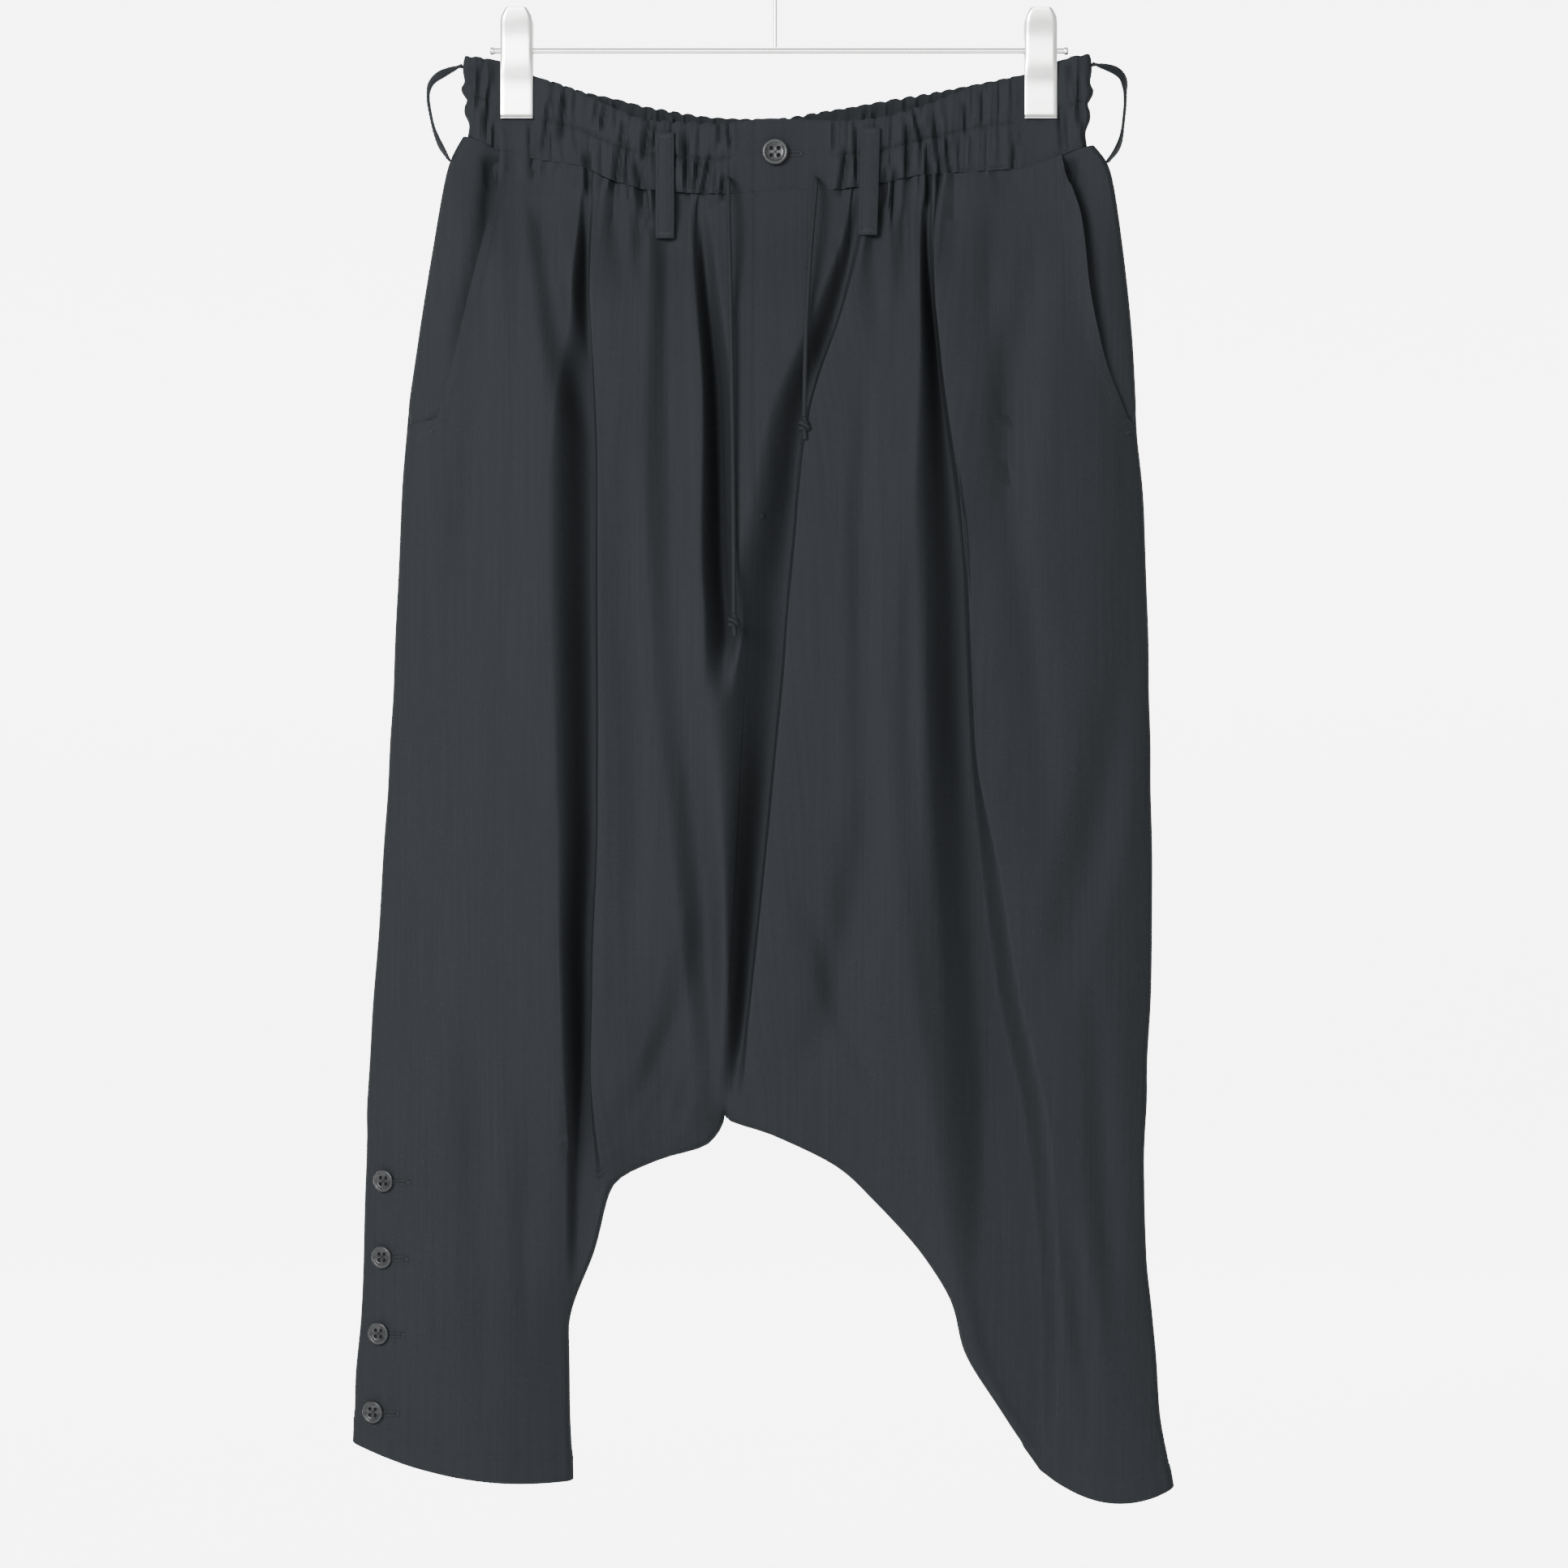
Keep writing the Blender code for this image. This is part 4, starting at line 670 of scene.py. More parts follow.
def fold_shift(folds, x, drop):
    """How far the folds push the cloth sideways and sink it towards the middle plane."""
    pushed, sunk = np.zeros_like(x), np.zeros_like(x)
    for fold in folds:
        depth = fold_depth(fold, drop)
        off = x - fold_value(fold, "x", drop)
        left, right = fold_value(fold, "left", drop), fold_value(fold, "right", drop)
        place = np.clip(np.abs(np.where(off < 0, off / left, off / right)), 0, 1)
        flatter = TROUGH_FLOOR if fold.lean else 0.0
        sunk += depth * (1 - smooth_step((place - flatter) / (1 - flatter)))
        if not fold.lean:
            continue
        # Below the drop at which a fold stands upright, its crest leans no more.
        leaning = 1.0 if fold.upright is None else smooth_step((fold.upright + 45 - drop) / 90)
        steep = right if fold.lean > 0 else -left
        crest = off - steep - math.copysign(5, fold.lean)
        share = np.clip(depth / 20, 0, 1) * leaning
        pushed -= OVERHANG * fold.lean * share * np.exp(-((crest / 9) ** 2))
        sunk -= fold.roll * share * np.exp(-((crest / 13) ** 2))
    return pushed, sunk


HALVES = {side: Half(side) for side in SECTIONS}


def band_outline(x, wall, depth_extra=0.0):
    """The band's outer face over x, before its channels and gathers."""
    end_gap = np.minimum(x - BAND_ENDS[0], BAND_ENDS[1] - x)
    depth = waist(x, "depth") * quarter_round(end_gap, BAND_ROUND)
    return WALL_SIGN[wall] * (SEAM_GAP / 2 + depth + depth_extra)


# ---------------------------------------------------------------- relief on the cloth


def crease_relief(creases, x, drop):
    """The depth that the sharp creases take out of the cloth."""
    taken = np.zeros_like(x)
    for c in creases:
        depth, width = CREASE_DEPTH * c.depth, CREASE_WIDTH * c.width
        run_x, run_drop = c.foot_x - c.x, c.foot_drop - c.drop
        length = math.hypot(run_x, run_drop)
        along = ((x - c.x) * run_x + (drop - c.drop) * run_drop) / length
        off = ((x - c.x) * run_drop - (drop - c.drop) * run_x) / length
        share = np.clip(along / length, -0.3, 1.3)
        fade = smooth_step((share + 0.25) / 0.45) * smooth_step((1.25 - share) / 0.5)
        taken += depth * fade * np.exp(-((off / width) ** 2))
        for lip in (off - 2.2 * width, off + 2.2 * width):
            taken -= 0.35 * depth * fade * np.exp(-((lip / (1.6 * width)) ** 2))
    return taken


def back_creases():
    """Creases along the back of the band, at an uneven pitch, long and short in turn."""
    found = []
    for k in range(CREASES_BEHIND):
        x = -203.0 + CREASE_PITCH * k + 2.4 * math.sin(2.3 * k) + 1.1 * math.sin(5.1 * k)
        if any(low - 1 < x < high + 1 for low, high in PLAIN_ZONES):
            continue
        top = float(waist(np.float64(x), "back_top"))
        start = top + 4 + 14 * (0.5 + 0.5 * math.sin(1.7 * k + 0.4))
        length = 24 + 12 * math.sin(2.9 * k + 1.2)
        lean = 1.6 * math.sin(1.3 * k)
        depth = 1.5 + 0.5 * math.sin(3.7 * k)
        found.append(Crease(x, start, x + lean, start + length, 2.2, depth))
    return found


CREASES = {"front": [Crease(*row) for row in FRONT_CREASES], "back": back_creases()}


def unevenness(across, down, seed):
    """The slow, slight waviness of cloth that hangs, about half a millimetre."""
    return 0.26 * (
        np.sin(across / 17.0 + 1.3 * np.sin(down / 61.0 + seed) + seed)
        + 0.8 * np.sin(across / 9.1 + down / 83.0 + 2.7 * seed)
        + 0.7 * np.sin(down / 27.0 + across / 46.0 + 1.9 * seed)
        + 0.5 * np.sin(across / 5.3 - down / 31.0 + 4.1 * seed) * np.sin(down / 44.0 + seed)
    )


def puckers(x, drop, wall):
    """The small pleats that run down from the gathered waist seam and fade."""
    below = drop - waist(x, f"{wall}_seam")
    shift = 0.0 if wall == "front" else 1.4
    drift = 1.1 * np.sin(x / 19.0 + 0.6) + 0.7 * np.sin(x / 7.9)
    first = 2 * math.pi * x / 8.8 + drift + below / 45.0 + shift
    second = 2 * math.pi * x / 13.7 - drift - below / 38.0 + 2 * shift
    reach = 24 + 12 * np.sin(x / 14.0 + 0.9) + 8 * np.sin(x / 5.7)
    fade = np.exp(-np.maximum(below, 0) / np.maximum(reach, 8)) * smooth_step((below + 6) / 8)
    pinched = 2.3 * (0.5 + 0.5 * np.cos(first)) ** 3 + 1.9 * (0.5 + 0.5 * np.cos(second)) ** 4
    return -gathering(x, wall) * fade * pinched


def stitched_groove(distance, width=1.1):
    return np.exp(-((distance / width) ** 2))


FLY_STITCH = [
    (22.0, 92), (21.6, 150), (21.2, 210), (20.8, 262), (20.0, 285), (16.6, 299), (9.5, 310),
    (0.5, 317), (-9.0, 321), (-13.0, 322),
]
HEM_DEPTH = 19.0
HEM_STITCH = 1.5  # how far each row of stitches lies inside the edge it holds
MOUTH_STITCH = 6.6
PLACKET_STITCH = 1.2
PLACKET_TOP = 738.0
PLACKET_WIDTH = 27.0
Lift = namedtuple("Lift", "top foot height")  # how far a pocket's mouth gapes, between drops
MOUTH_LIFT = {"right": Lift(58, 225, 3.4), "left": Lift(62, 225, 5.5)}


def seam_relief(half, u, v, x, drop, wall):
    """What sewing does to the cloth: turned edges, stitch grooves and doubled hems."""
    out = np.zeros_like(x)
    along_x = half.along("outer_x", v) - half.along("inner_x", v)
    from_side = np.abs(along_x) * (1 - u)
    from_middle = np.abs(along_x) * u
    # The side seam and the inseam draw in a little, unevenly.
    pull = 0.5 + 0.5 * np.sin(drop / 13.0 + 0.8 * np.sin(drop / 37.0))
    out -= 0.45 * pull * np.exp(-((from_side / 5.0) ** 2))
    out -= 0.4 * pull * np.exp(-((from_middle / 5.0) ** 2)) * smooth_step((v - CROTCH + 0.5) * 2)
    # The hem is turned up: a step and a row of stitches above it.
    to_hem = hem_drop(half, x) - drop
    out += 0.55 * smooth_step((HEM_DEPTH + 1.2 - to_hem) / 1.6)
    out -= 0.5 * stitched_groove(to_hem - HEM_DEPTH + HEM_STITCH)
    drawn = stitched_groove(to_hem - HEM_DEPTH + HEM_STITCH, 5.0)
    out += 0.22 * np.sin(x / 2.9 + np.sin(x / 7.0)) * drawn
    # Below the waist seam the cloth starts level with the band's foot and has its gathers.
    below = drop - waist(x, f"{wall}_seam")
    out += (0.45 + 0.35 * band_waves(x, wall)) * np.exp(-np.maximum(below, 0) / 6.0)
    if wall == "front" and half.side == "left":
        to_stitch = distance_to_line(np.array(FLY_STITCH), x, drop)
        out -= 0.42 * stitched_groove(to_stitch)
        out += 0.35 * smooth_step((FLY_FOOT + 3 - drop) / 10) * smooth_step((23 - x) / 2)
    if wall == "front":
        inside = half.sign * (mouth_x(half.side, drop) - x)
        open_part = smooth_step((252 - drop) / 12) * (inside > -1.0)
        out += 0.55 * smooth_step((8.4 - inside) / 1.5) * open_part
        out -= 0.5 * stitched_groove(inside - MOUTH_STITCH, 0.9) * open_part
        lift = MOUTH_LIFT[half.side]
        gape = smooth_step((drop - lift.top) / 30) * smooth_step((lift.foot - drop) / 60)
        out += lift.height * gape * np.exp(-np.maximum(inside, 0) / 9.0) * (inside > -1.0)
    if wall == "front" and half.side == "right":
        # The ankle placket: its faced edge, and the stitches that hold the facing.
        placket = smooth_step((drop - PLACKET_TOP) / 3)
        out += 0.35 * placket * smooth_step((PLACKET_WIDTH + 0.8 - from_side) / 1.4)
        out -= 0.4 * placket * stitched_groove(from_side - PLACKET_WIDTH + PLACKET_STITCH)
        out -= 0.5 * stitched_groove(drop - PLACKET_TOP, 1.3) * smooth_step((34 - from_side) / 6)
    return out


def hem_drop(half, x):
    """The hem's drop under a place across the leg."""
    u = np.linspace(0, 1, 41)
    hem_x, drop = half.flat(u, np.full_like(u, float(half.last)), "front")
    order = np.argsort(hem_x)
    return np.interp(x, hem_x[order], drop[order])


def grid_normals(points):
    """Unit normals of a grid of points, from its neighbours along both ways."""
    across = np.gradient(points, axis=1)
    down = np.gradient(points, axis=0)
    return unit(np.cross(across, down))


def cloth_relief(half, u, v, wall):
    """How far the dressed cloth stands proud of its plain form."""
    x, drop = half.flat(u, v, wall)
    relief = unevenness(x, drop, 1.7 if wall == "front" else 4.2)
    relief = relief * smooth_step(np.minimum(1 - u, np.where(v > CROTCH - 1, u, 1.0)) / 0.06)
    relief += puckers(x, drop, wall)
    below = drop - waist(x, f"{wall}_seam")
    relief -= crease_relief(CREASES[wall], x, drop) * smooth_step((below + 4) / 6)
    return relief + seam_relief(half, u, v, x, drop, wall)


def dressed(half, u, v, wall):
    """The dressed cloth's outer face over a grid of u and v, and its normals."""
    points = half.surface(u, v, wall)
    normal = grid_normals(points)
    if normal[..., 1].mean() * WALL_SIGN[wall] < 0:
        normal = -normal
    on_middle = (u <= 0) & (v <= CROTCH)
    normal[..., 0] = np.where(on_middle, 0.0, normal[..., 0])
    normal = unit(normal)
    return points + normal * cloth_relief(half, u, v, wall)[..., None], normal


# ---------------------------------------------------------------- meshes


MERGE_DISTANCE = 1e-6  # metres
ROW_SPACING = 5.6
FINE_SPACING = 2.4  # under the band
HEM_SPACING = 1.5


def rows_of(half, start=0.0, end=None):
    """Values of v down the cloth, closer together under the band and at the hem."""
    end = float(half.last) if end is None else end
    fine = np.linspace(start, end, 3001)
    x, drop = half.flat(np.full_like(fine, 0.6), fine, "front")
    travelled = np.concatenate([[0], np.cumsum(np.hypot(np.diff(x), np.diff(drop)))])
    last = half.flat(np.float64(0.6), np.float64(half.last), "front")[1]
    spacing = ROW_SPACING - (ROW_SPACING - FINE_SPACING) * smooth_step((150 - drop) / 50)
    spacing = np.where(last - drop < HEM_DEPTH + 6, HEM_SPACING, spacing)
    worth = np.concatenate([[0], np.cumsum(np.diff(travelled) / spacing[1:])])
    count = max(2, round(worth[-1]))
    return np.interp(np.linspace(0, worth[-1], count + 1), worth, fine)


def finish_piece(obj, node_names, smooth_angle=40.0):
    obj.data.shade_smooth()
    obj.data.set_sharp_from_angle(angle=math.radians(smooth_angle))
    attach(obj, "root")
    if node_names:
        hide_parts(*node_names)
    return obj


def mesh_of(name, bm):
    mesh = bpy.data.meshes.new(name)
    bm.to_mesh(mesh)
    bm.free()
    return mesh


def add_object(name, data):
    obj = bpy.data.objects.new(name, data)
    bpy.context.scene.collection.objects.link(obj)
    return obj


def link_mesh(name, bm, finish):
    mesh = mesh_of(name, bm)
    mesh.materials.append(finish)
    return add_object(name, mesh)


def spin_profile(profile, axis, steps):
    """A closed solid turned about an axis from a profile that begins and ends on it."""
    bm = bmesh.new()
    bmesh.ops.create_circle(bm, segments=len(profile), radius=1.0, cap_ends=False)
    bm.verts.ensure_lookup_table()
    for vert, place in zip(bm.verts, profile):
        vert.co = place
    opening = [e for e in bm.edges if {v.index for v in e.verts} == {0, len(profile) - 1}]
    bmesh.ops.delete(bm, geom=opening, context="EDGES")
    bmesh.ops.spin(bm, geom=bm.verts[:] + bm.edges[:], cent=(0, 0, 0), axis=axis,
                   angle=2 * math.pi, steps=steps, use_merge=True)
    bmesh.ops.remove_doubles(bm, verts=bm.verts[:], dist=MERGE_DISTANCE)
    face_outwards(bm)
    return bm


def face_outwards(bm):
    bmesh.ops.recalc_face_normals(bm, faces=bm.faces[:])
    if bm.calc_volume(signed=True) < 0:
        bmesh.ops.reverse_faces(bm, faces=bm.faces[:])


def cloth_piece(name, outer, inner, cut, finish):
    """A wall of cloth between two grids of points in metres, with its flat cut as the UV."""
    rows, columns = outer.shape[0] - 1, outer.shape[1] - 1
    bm = bmesh.new()
    bmesh.ops.create_grid(bm, x_segments=columns, y_segments=rows, size=1.0)
    grown = bmesh.ops.extrude_face_region(bm, geom=bm.faces[:])
    lifted = {e for e in grown["geom"] if isinstance(e, bmesh.types.BMVert)}
    place = {}
    for vert in bm.verts:
        j = round((vert.co.x + 1) / 2 * columns)
        i = round((vert.co.y + 1) / 2 * rows)
        place[vert] = (i, j)
        vert.co = inner[i, j] if vert in lifted else outer[i, j]
    layer = bm.loops.layers.uv.new("UVMap")
    for face in bm.faces:
        for loop in face.loops:
            loop[layer].uv = cut[place[loop.vert]]
    face_outwards(bm)
    return link_mesh(name, bm, finish)


def flat_cut(points):
    """Distances along the cloth, across and down, in metres: where each point was cut."""
    across = np.linalg.norm(np.diff(points, axis=1), axis=2)
    down = np.linalg.norm(np.diff(points, axis=0), axis=2)
    zero_column = np.zeros((points.shape[0], 1))
    u = np.concatenate([zero_column, np.cumsum(across, axis=1)], axis=1)
    v = np.concatenate([np.zeros((1, points.shape[1])), np.cumsum(down, axis=0)], axis=0)
    level = v[:, v.shape[1] // 2][:, None] * np.ones_like(u)
    return np.stack([u, level], axis=-1)


def hanging_grain(half, u, v, wall):
    """The cut of a panel whose grain hangs straight down, in metres."""
    x, drop = half.flat(u, v, wall)
    return np.stack([x, -drop], axis=-1) * MM


def in_metres_grid(points):
    return in_metres(points[..., 0], points[..., 1], points[..., 2])


def sew_sheet(node, points, inner, finish, cut=None, smooth_angle=40.0):
    """A wall of cloth between grids of points in millimetres, with its flat cut as the UV."""
    outer = in_metres_grid(points)
    cut = flat_cut(outer) if cut is None else cut
    piece = cloth_piece(f"{node}_cloth", outer, in_metres_grid(inner), cut, finish)
    finish_piece(piece, [node], smooth_angle)


# ---------------------------------------------------------------- the trousers


COLUMN_SHARE = 5  # columns of dressed cloth for each column of its solid


def finer(u):
    """The same columns with more between each pair."""
    steps = np.arange(COLUMN_SHARE) / COLUMN_SHARE
    inside = (u[:-1, None] + (u[1:] - u[:-1])[:, None] * steps).reshape(-1)
    return np.append(inside, u[-1])


def smoothed_columns(grid_u, rounds=6):
    """Columns eased down the rows, with their first and last left alone."""
    eased = ease(grid_u.copy(), rounds)
    eased[:, 0], eased[:, -1] = grid_u[:, 0], grid_u[:, -1]
    return eased


MOUTH_TURN = 0.12  # the pocket's mouth turns to the side seam over this share of its last section


def make_panel(side, wall, finish):
    half = HALVES[side]
    if wall == "front":
        turn = np.linspace(POCKET_FOOT - MOUTH_TURN, POCKET_FOOT - 0.003, 10)
        rows = np.concatenate([rows_of(half, 0.0, POCKET_FOOT - MOUTH_TURN)[:-1], turn,
                               rows_of(half, float(POCKET_FOOT))])
    else:
        rows = rows_of(half)
    grid_u = []
    for v in rows:
        end = 1.0
        if wall == "front" and v < POCKET_FOOT:
            turned = smooth_step((v - POCKET_FOOT + MOUTH_TURN) / MOUTH_TURN)
            end = half.mouth(v) + (1 - half.mouth(v)) * turned
        grid_u.append(finer(half.spread(v, wall, end)))
    grid_u = np.array(grid_u)
    if wall == "front":
        above = int(np.sum(rows < POCKET_FOOT))
        parts = [smoothed_columns(grid_u[:above]), smoothed_columns(grid_u[above:])]
        grid_u = np.concatenate(parts)
    else:
        grid_u = smoothed_columns(grid_u)
    grid_v = np.repeat(rows[:, None], grid_u.shape[1], axis=1)
    points, normal = dressed(half, grid_u, grid_v, wall)
    sew_sheet(f"{wall}_{side}", points, points - normal * CLOTH, finish,
              hanging_grain(half, grid_u, grid_v, wall))


def make_facing(side, finish):
    half = HALVES[side]
    rows = rows_of(half, 0.0, POCKET_FOOT - 0.012)
    across = 30
    grid_u, step = [], []
    for v in rows:
        edge = half.mouth(v)
        start, end = half.flat(np.array([0.0, 1.0]), np.array([v, v]), "front")[0]
        tucked = edge - FACING_UNDERLAP / abs(end - start)
        spaced = np.linspace(0, 1, across + 1)
        u = tucked + (1 - tucked) * np.sin(spaced * math.pi / 2) ** 1.2
        grid_u.append(u)
        foot = smooth_step((v - POCKET_FOOT + 0.25) / 0.2)
        gape = smooth_step((v - 0.2) / 0.6) * smooth_step((POCKET_FOOT - 0.4 - v) / 1.2)
        beyond = np.maximum(u - edge, 0) * abs(end - start)
        sunk = (1.4 + (FACING_STEP - 1.4) * smooth_step(v / 0.4)
                + 7.0 * gape * np.exp(-((beyond / 8.5) ** 2)))
        step.append(sunk * (1 - (1 - foot) * smooth_step((u - edge) / (1 - edge))))
    grid_u = np.array(grid_u)
    grid_v = np.repeat(rows[:, None], across + 1, axis=1)
    points = half.surface(grid_u, grid_v, "front")
    normal = grid_normals(points)
    if normal[..., 1].mean() > 0:
        normal = -normal
    x, drop = half.flat(grid_u, grid_v, "front")
    relief = 1.2 * unevenness(x, drop, 8.8) * smooth_step((1 - grid_u) / 0.05) - np.array(step)
    points = points + normal * relief[..., None]
    sew_sheet(f"pocket_facing_{side}", points, points - normal * CLOTH, finish,
              hanging_grain(half, grid_u, grid_v, "front"))


BAND_ROWS = 26
# How the band's side edge bulges: shares of the way down it, and how far it stands out.
SIDE_BUMPS = [
    (0.0, 0.0), (0.17, 0.7), (0.31, -0.4), (0.4, 1.9), (0.47, 0.7), (0.55, -2.1), (0.63, -0.4),
    (0.7, -0.2), (0.77, -1.7), (0.87, -3.6), (1.0, -2.6),
]


def band_face(x, share, wall, lifted):
    """Points on the dressed band's outer face, a share of the way down it, and its normals."""
    x, share, lifted = np.broadcast_arrays(x, share, lifted)
    end_gap = np.minimum(x - BAND_ENDS[0], BAND_ENDS[1] - x)
    near_end = smooth_step(end_gap / 8)
    y = band_outline(x, wall, lifted)
    slope = (band_outline(x + 0.3, wall, lifted) - band_outline(x - 0.3, wall, lifted)) / 0.6
    slope = np.clip(slope, -6, 6)
    normal = unit(np.stack([-slope, np.ones_like(x)], axis=-1)) * WALL_SIGN[wall]
    at_end = (end_gap < 0.05)[..., None]
    normal = np.where(at_end, np.stack([np.sign(x), np.zeros_like(x)], axis=-1), normal)
    top, foot = waist(x, f"{wall}_top"), waist(x, f"{wall}_seam")
    tall = foot - top
    drop = top + tall * share
    waves = band_waves(x, wall)
    channel = np.abs(np.sin(2 * math.pi * share)) ** 0.8
    gathered = gathering(x, wall)
    relief = 1.05 * channel * gathered + waves * (0.35 + 0.65 * channel)
    relief += 0.28 * np.sin(x * 1.55 + 2.2 * np.sin(x / 11.0) + 3.0 * share) * gathered
    relief -= crease_relief(CREASES[wall], x, drop)
    relief -= (0.3 + 0.6 * gathered) * stitched_groove((share - 0.5) * tall, 1.3)
    relief = np.maximum(relief, -0.9 - 2.3 * gathered) * near_end
    relief = relief - 0.6 * np.exp(-((share / 0.03) ** 2))
    # Its top edge is scalloped by the gathers, and its foot reaches down to the cloth.
    drop = drop - 1.7 * (waves / GATHER_DEPTH - 0.5 * gathered) * np.exp(-share / 0.08)
    drop = drop + 0.62 * smooth_step((share - 0.9) / 0.1)
    bumps = through(*zip(*SIDE_BUMPS), share)
    x = x + np.sign(x) * bumps * (1 - smooth_step(end_gap / 10))
    points = np.stack([x + normal[..., 0] * relief, y + normal[..., 1] * relief, drop], axis=-1)
    return points, np.concatenate([normal, np.zeros_like(x)[..., None]], axis=-1)


def band_x(start, end):
    """Close columns along the band, with its rounded ends."""
    low, high = BAND_ENDS
    turned = BAND_ROUND * (1 - np.cos(np.linspace(0, math.pi / 2, 8)))
    middle = np.arange(low + BAND_ROUND + 1.1, high - BAND_ROUND - 0.6, 1.25)
    x = np.concatenate([low + turned, middle, high - turned[::-1]])
    inside = x[(x > start + 0.4) & (x < end - 0.4)]
    return np.concatenate([[start], inside, [end]])


def fly_lift(x):
    return BAND_LIFT * smooth_step(1 - (x - FLY_EDGE) / 34)


BAND_PIECES = {
    "waistband_front_right": ("front", BAND_ENDS[0], FLY_EDGE + FLY_LAP),
    "waistband_front_left": ("front", FLY_EDGE - FLY_LAP - 0.4, BAND_ENDS[1]),
    "waistband_back": ("back", BAND_ENDS[0], BAND_ENDS[1]),
}


def make_band(node, finish):
    wall, start, end = BAND_PIECES[node]
    x = band_x(start, end)
    lifted = fly_lift(x) if node == "waistband_front_left" else np.zeros_like(x)
    share = np.linspace(0, 1, BAND_ROWS + 1)[:, None]
    points, normal = band_face(x[None], share, wall, lifted[None])
    inner = points - normal * (BAND_WALL - 0.9 * np.exp(-((share[..., None] / 0.03) ** 2)))
    sew_sheet(node, points, inner, finish)


# ---------------------------------------------------------------- places on the cloth


def sections_at(half, wall, x, drop):
    """The u and v of the places seen from the front at x and drop."""
    low, high = np.zeros_like(x), np.full_like(x, float(half.last))
    for _ in range(26):
        v = (low + high) / 2
        inner, outer = half.along("inner_x", v), half.along("outer_x", v)
        u = np.clip((x - inner) / (outer - inner), 0, 1)
        above = half.flat(u, v, wall)[1] > drop
        low, high = np.where(above, low, v), np.where(above, v, high)
    return u, v


def on_cloth(wall, side, x, drop, proud=0.0):
    """Points on the dressed panel and its outward normals, in millimetres."""
    half = HALVES[side]
    x, drop = np.broadcast_arrays(np.asarray(x, float), np.asarray(drop, float))
    u, v = sections_at(half, wall, x, drop)
    u_low, u_high = np.clip(u - 0.003, 0, 1), np.clip(u + 0.003, 0, 1)
    v_low, v_high = np.clip(v - 0.01, 0, half.last), np.clip(v + 0.01, 0, half.last)
    across = half.surface(u_high, v, wall) - half.surface(u_low, v, wall)
    down = half.surface(u, v_high, wall) - half.surface(u, v_low, wall)
    normal = unit(np.cross(across, down) * -half.sign * WALL_SIGN[wall])
    relief = cloth_relief(half, u, v, wall) + proud
    return half.surface(u, v, wall) + normal * relief[..., None], normal


def on_band(wall, x, drop, proud=0.0):
    """Points on the dressed band and its outward normals, in millimetres."""
    x, drop = np.broadcast_arrays(np.asarray(x, float), np.asarray(drop, float))
    top, foot = waist(x, f"{wall}_top"), waist(x, f"{wall}_seam")
    share = np.clip((drop - top) / (foot - top), 0, 1)
    lifted = fly_lift(x) * (x > FLY_EDGE) if wall == "front" else np.zeros_like(x)
    points, normal = band_face(x, share, wall, lifted)
    return points + normal * proud, normal


def outermost(wall, x, drop, half_width):
    """The y of a straight edge laid across the cloth or band, at each of several places."""
    x, drop = np.broadcast_arrays(np.asarray(x, float), np.asarray(drop, float))
    across = x[:, None] + np.linspace(-half_width, half_width, 7)
    down = np.broadcast_to(drop[:, None], across.shape)
    on_right = across < FLY_EDGE
    sides = [on_cloth(wall, side, across, down)[0][..., 1] for side in ("right", "left")]
    y = np.where(on_right, sides[0], sides[1])
    above_seam = down < waist(across, f"{wall}_seam") + 0.5
    y = np.where(above_seam, on_band(wall, across, down)[0][..., 1], y)
    return WALL_SIGN[wall] * (WALL_SIGN[wall] * y).max(axis=1)


# ---------------------------------------------------------------- stitches


STITCH = 2.9
STITCH_GAP = 0.9
THREAD = 0.21


def stitch_shape():
    """One stitch, a millimetre long: thread that dips into the cloth at both its ends."""
    bm = bmesh.new()
    bmesh.ops.create_uvsphere(bm, u_segments=6, v_segments=6, radius=0.5)
    bmesh.ops.rotate(bm, verts=bm.verts, matrix=Matrix.Rotation(math.pi / 2, 3, "Y"))
    for vert in bm.verts:
        vert.co.z += 0.5 - 1.6 * (vert.co.x) ** 2
    return mesh_of("stitch_shape", bm)


class Thread:
    """Rows of stitches gathered into one mesh."""

    def __init__(self):
        self.shape = stitch_shape()
        self.bm = bmesh.new()

    def lay(self, start, end, out, radius=THREAD):
        """One stitch between two points in millimetres, on cloth that faces out."""
        start, end, out = np.array(start), np.array(end), unit(np.array(out, float))
        along = unit(end - start)
        side = unit(np.cross(out, along))
        out = np.cross(along, side)
        length = np.linalg.norm(end - start)
        middle = (start + end) / 2
        axes = np.stack([along * length, side * 2 * radius, out * 2 * radius], axis=1)
        flip = np.diag([1.0, 1.0, -1.0])
        turned = flip @ axes * MM
        place = in_metres(*middle)
        matrix = Matrix([[*turned[r], place[r]] for r in range(3)] + [[0, 0, 0, 1]])
        copy = self.shape.copy()
        copy.transform(matrix)
        if matrix.determinant() < 0:
            copy.flip_normals()
        self.bm.from_mesh(copy)
        bpy.data.meshes.remove(copy)

    def run(self, points, normals, length=STITCH, gap=STITCH_GAP, radius=THREAD):
        """A row of stitches along a line of points on cloth."""
        travelled = travelled_along(points)

        def at(mark, values):
            return np.array([np.interp(mark, travelled, values[:, a]) for a in range(3)])

        for k in range(int(travelled[-1] // (length + gap))):
            start = k * (length + gap)
            out = at(start + length / 2, normals)
            self.lay(at(start, points), at(start + length, points), out, radius)

    def finish(self, name, finish):
        piece = link_mesh(name, self.bm, finish)
        bpy.data.meshes.remove(self.shape)
        return finish_piece(piece, [], 60)


def close_points(path, spacing=1.6):
    """Points along a line of corners, close together."""
    path = np.array(path, float)
    travelled = travelled_along(path)
    marks = np.linspace(0, travelled[-1], max(2, int(travelled[-1] / spacing)))
    return np.stack([np.interp(marks, travelled, path[:, a]) for a in range(path.shape[1])], axis=1)


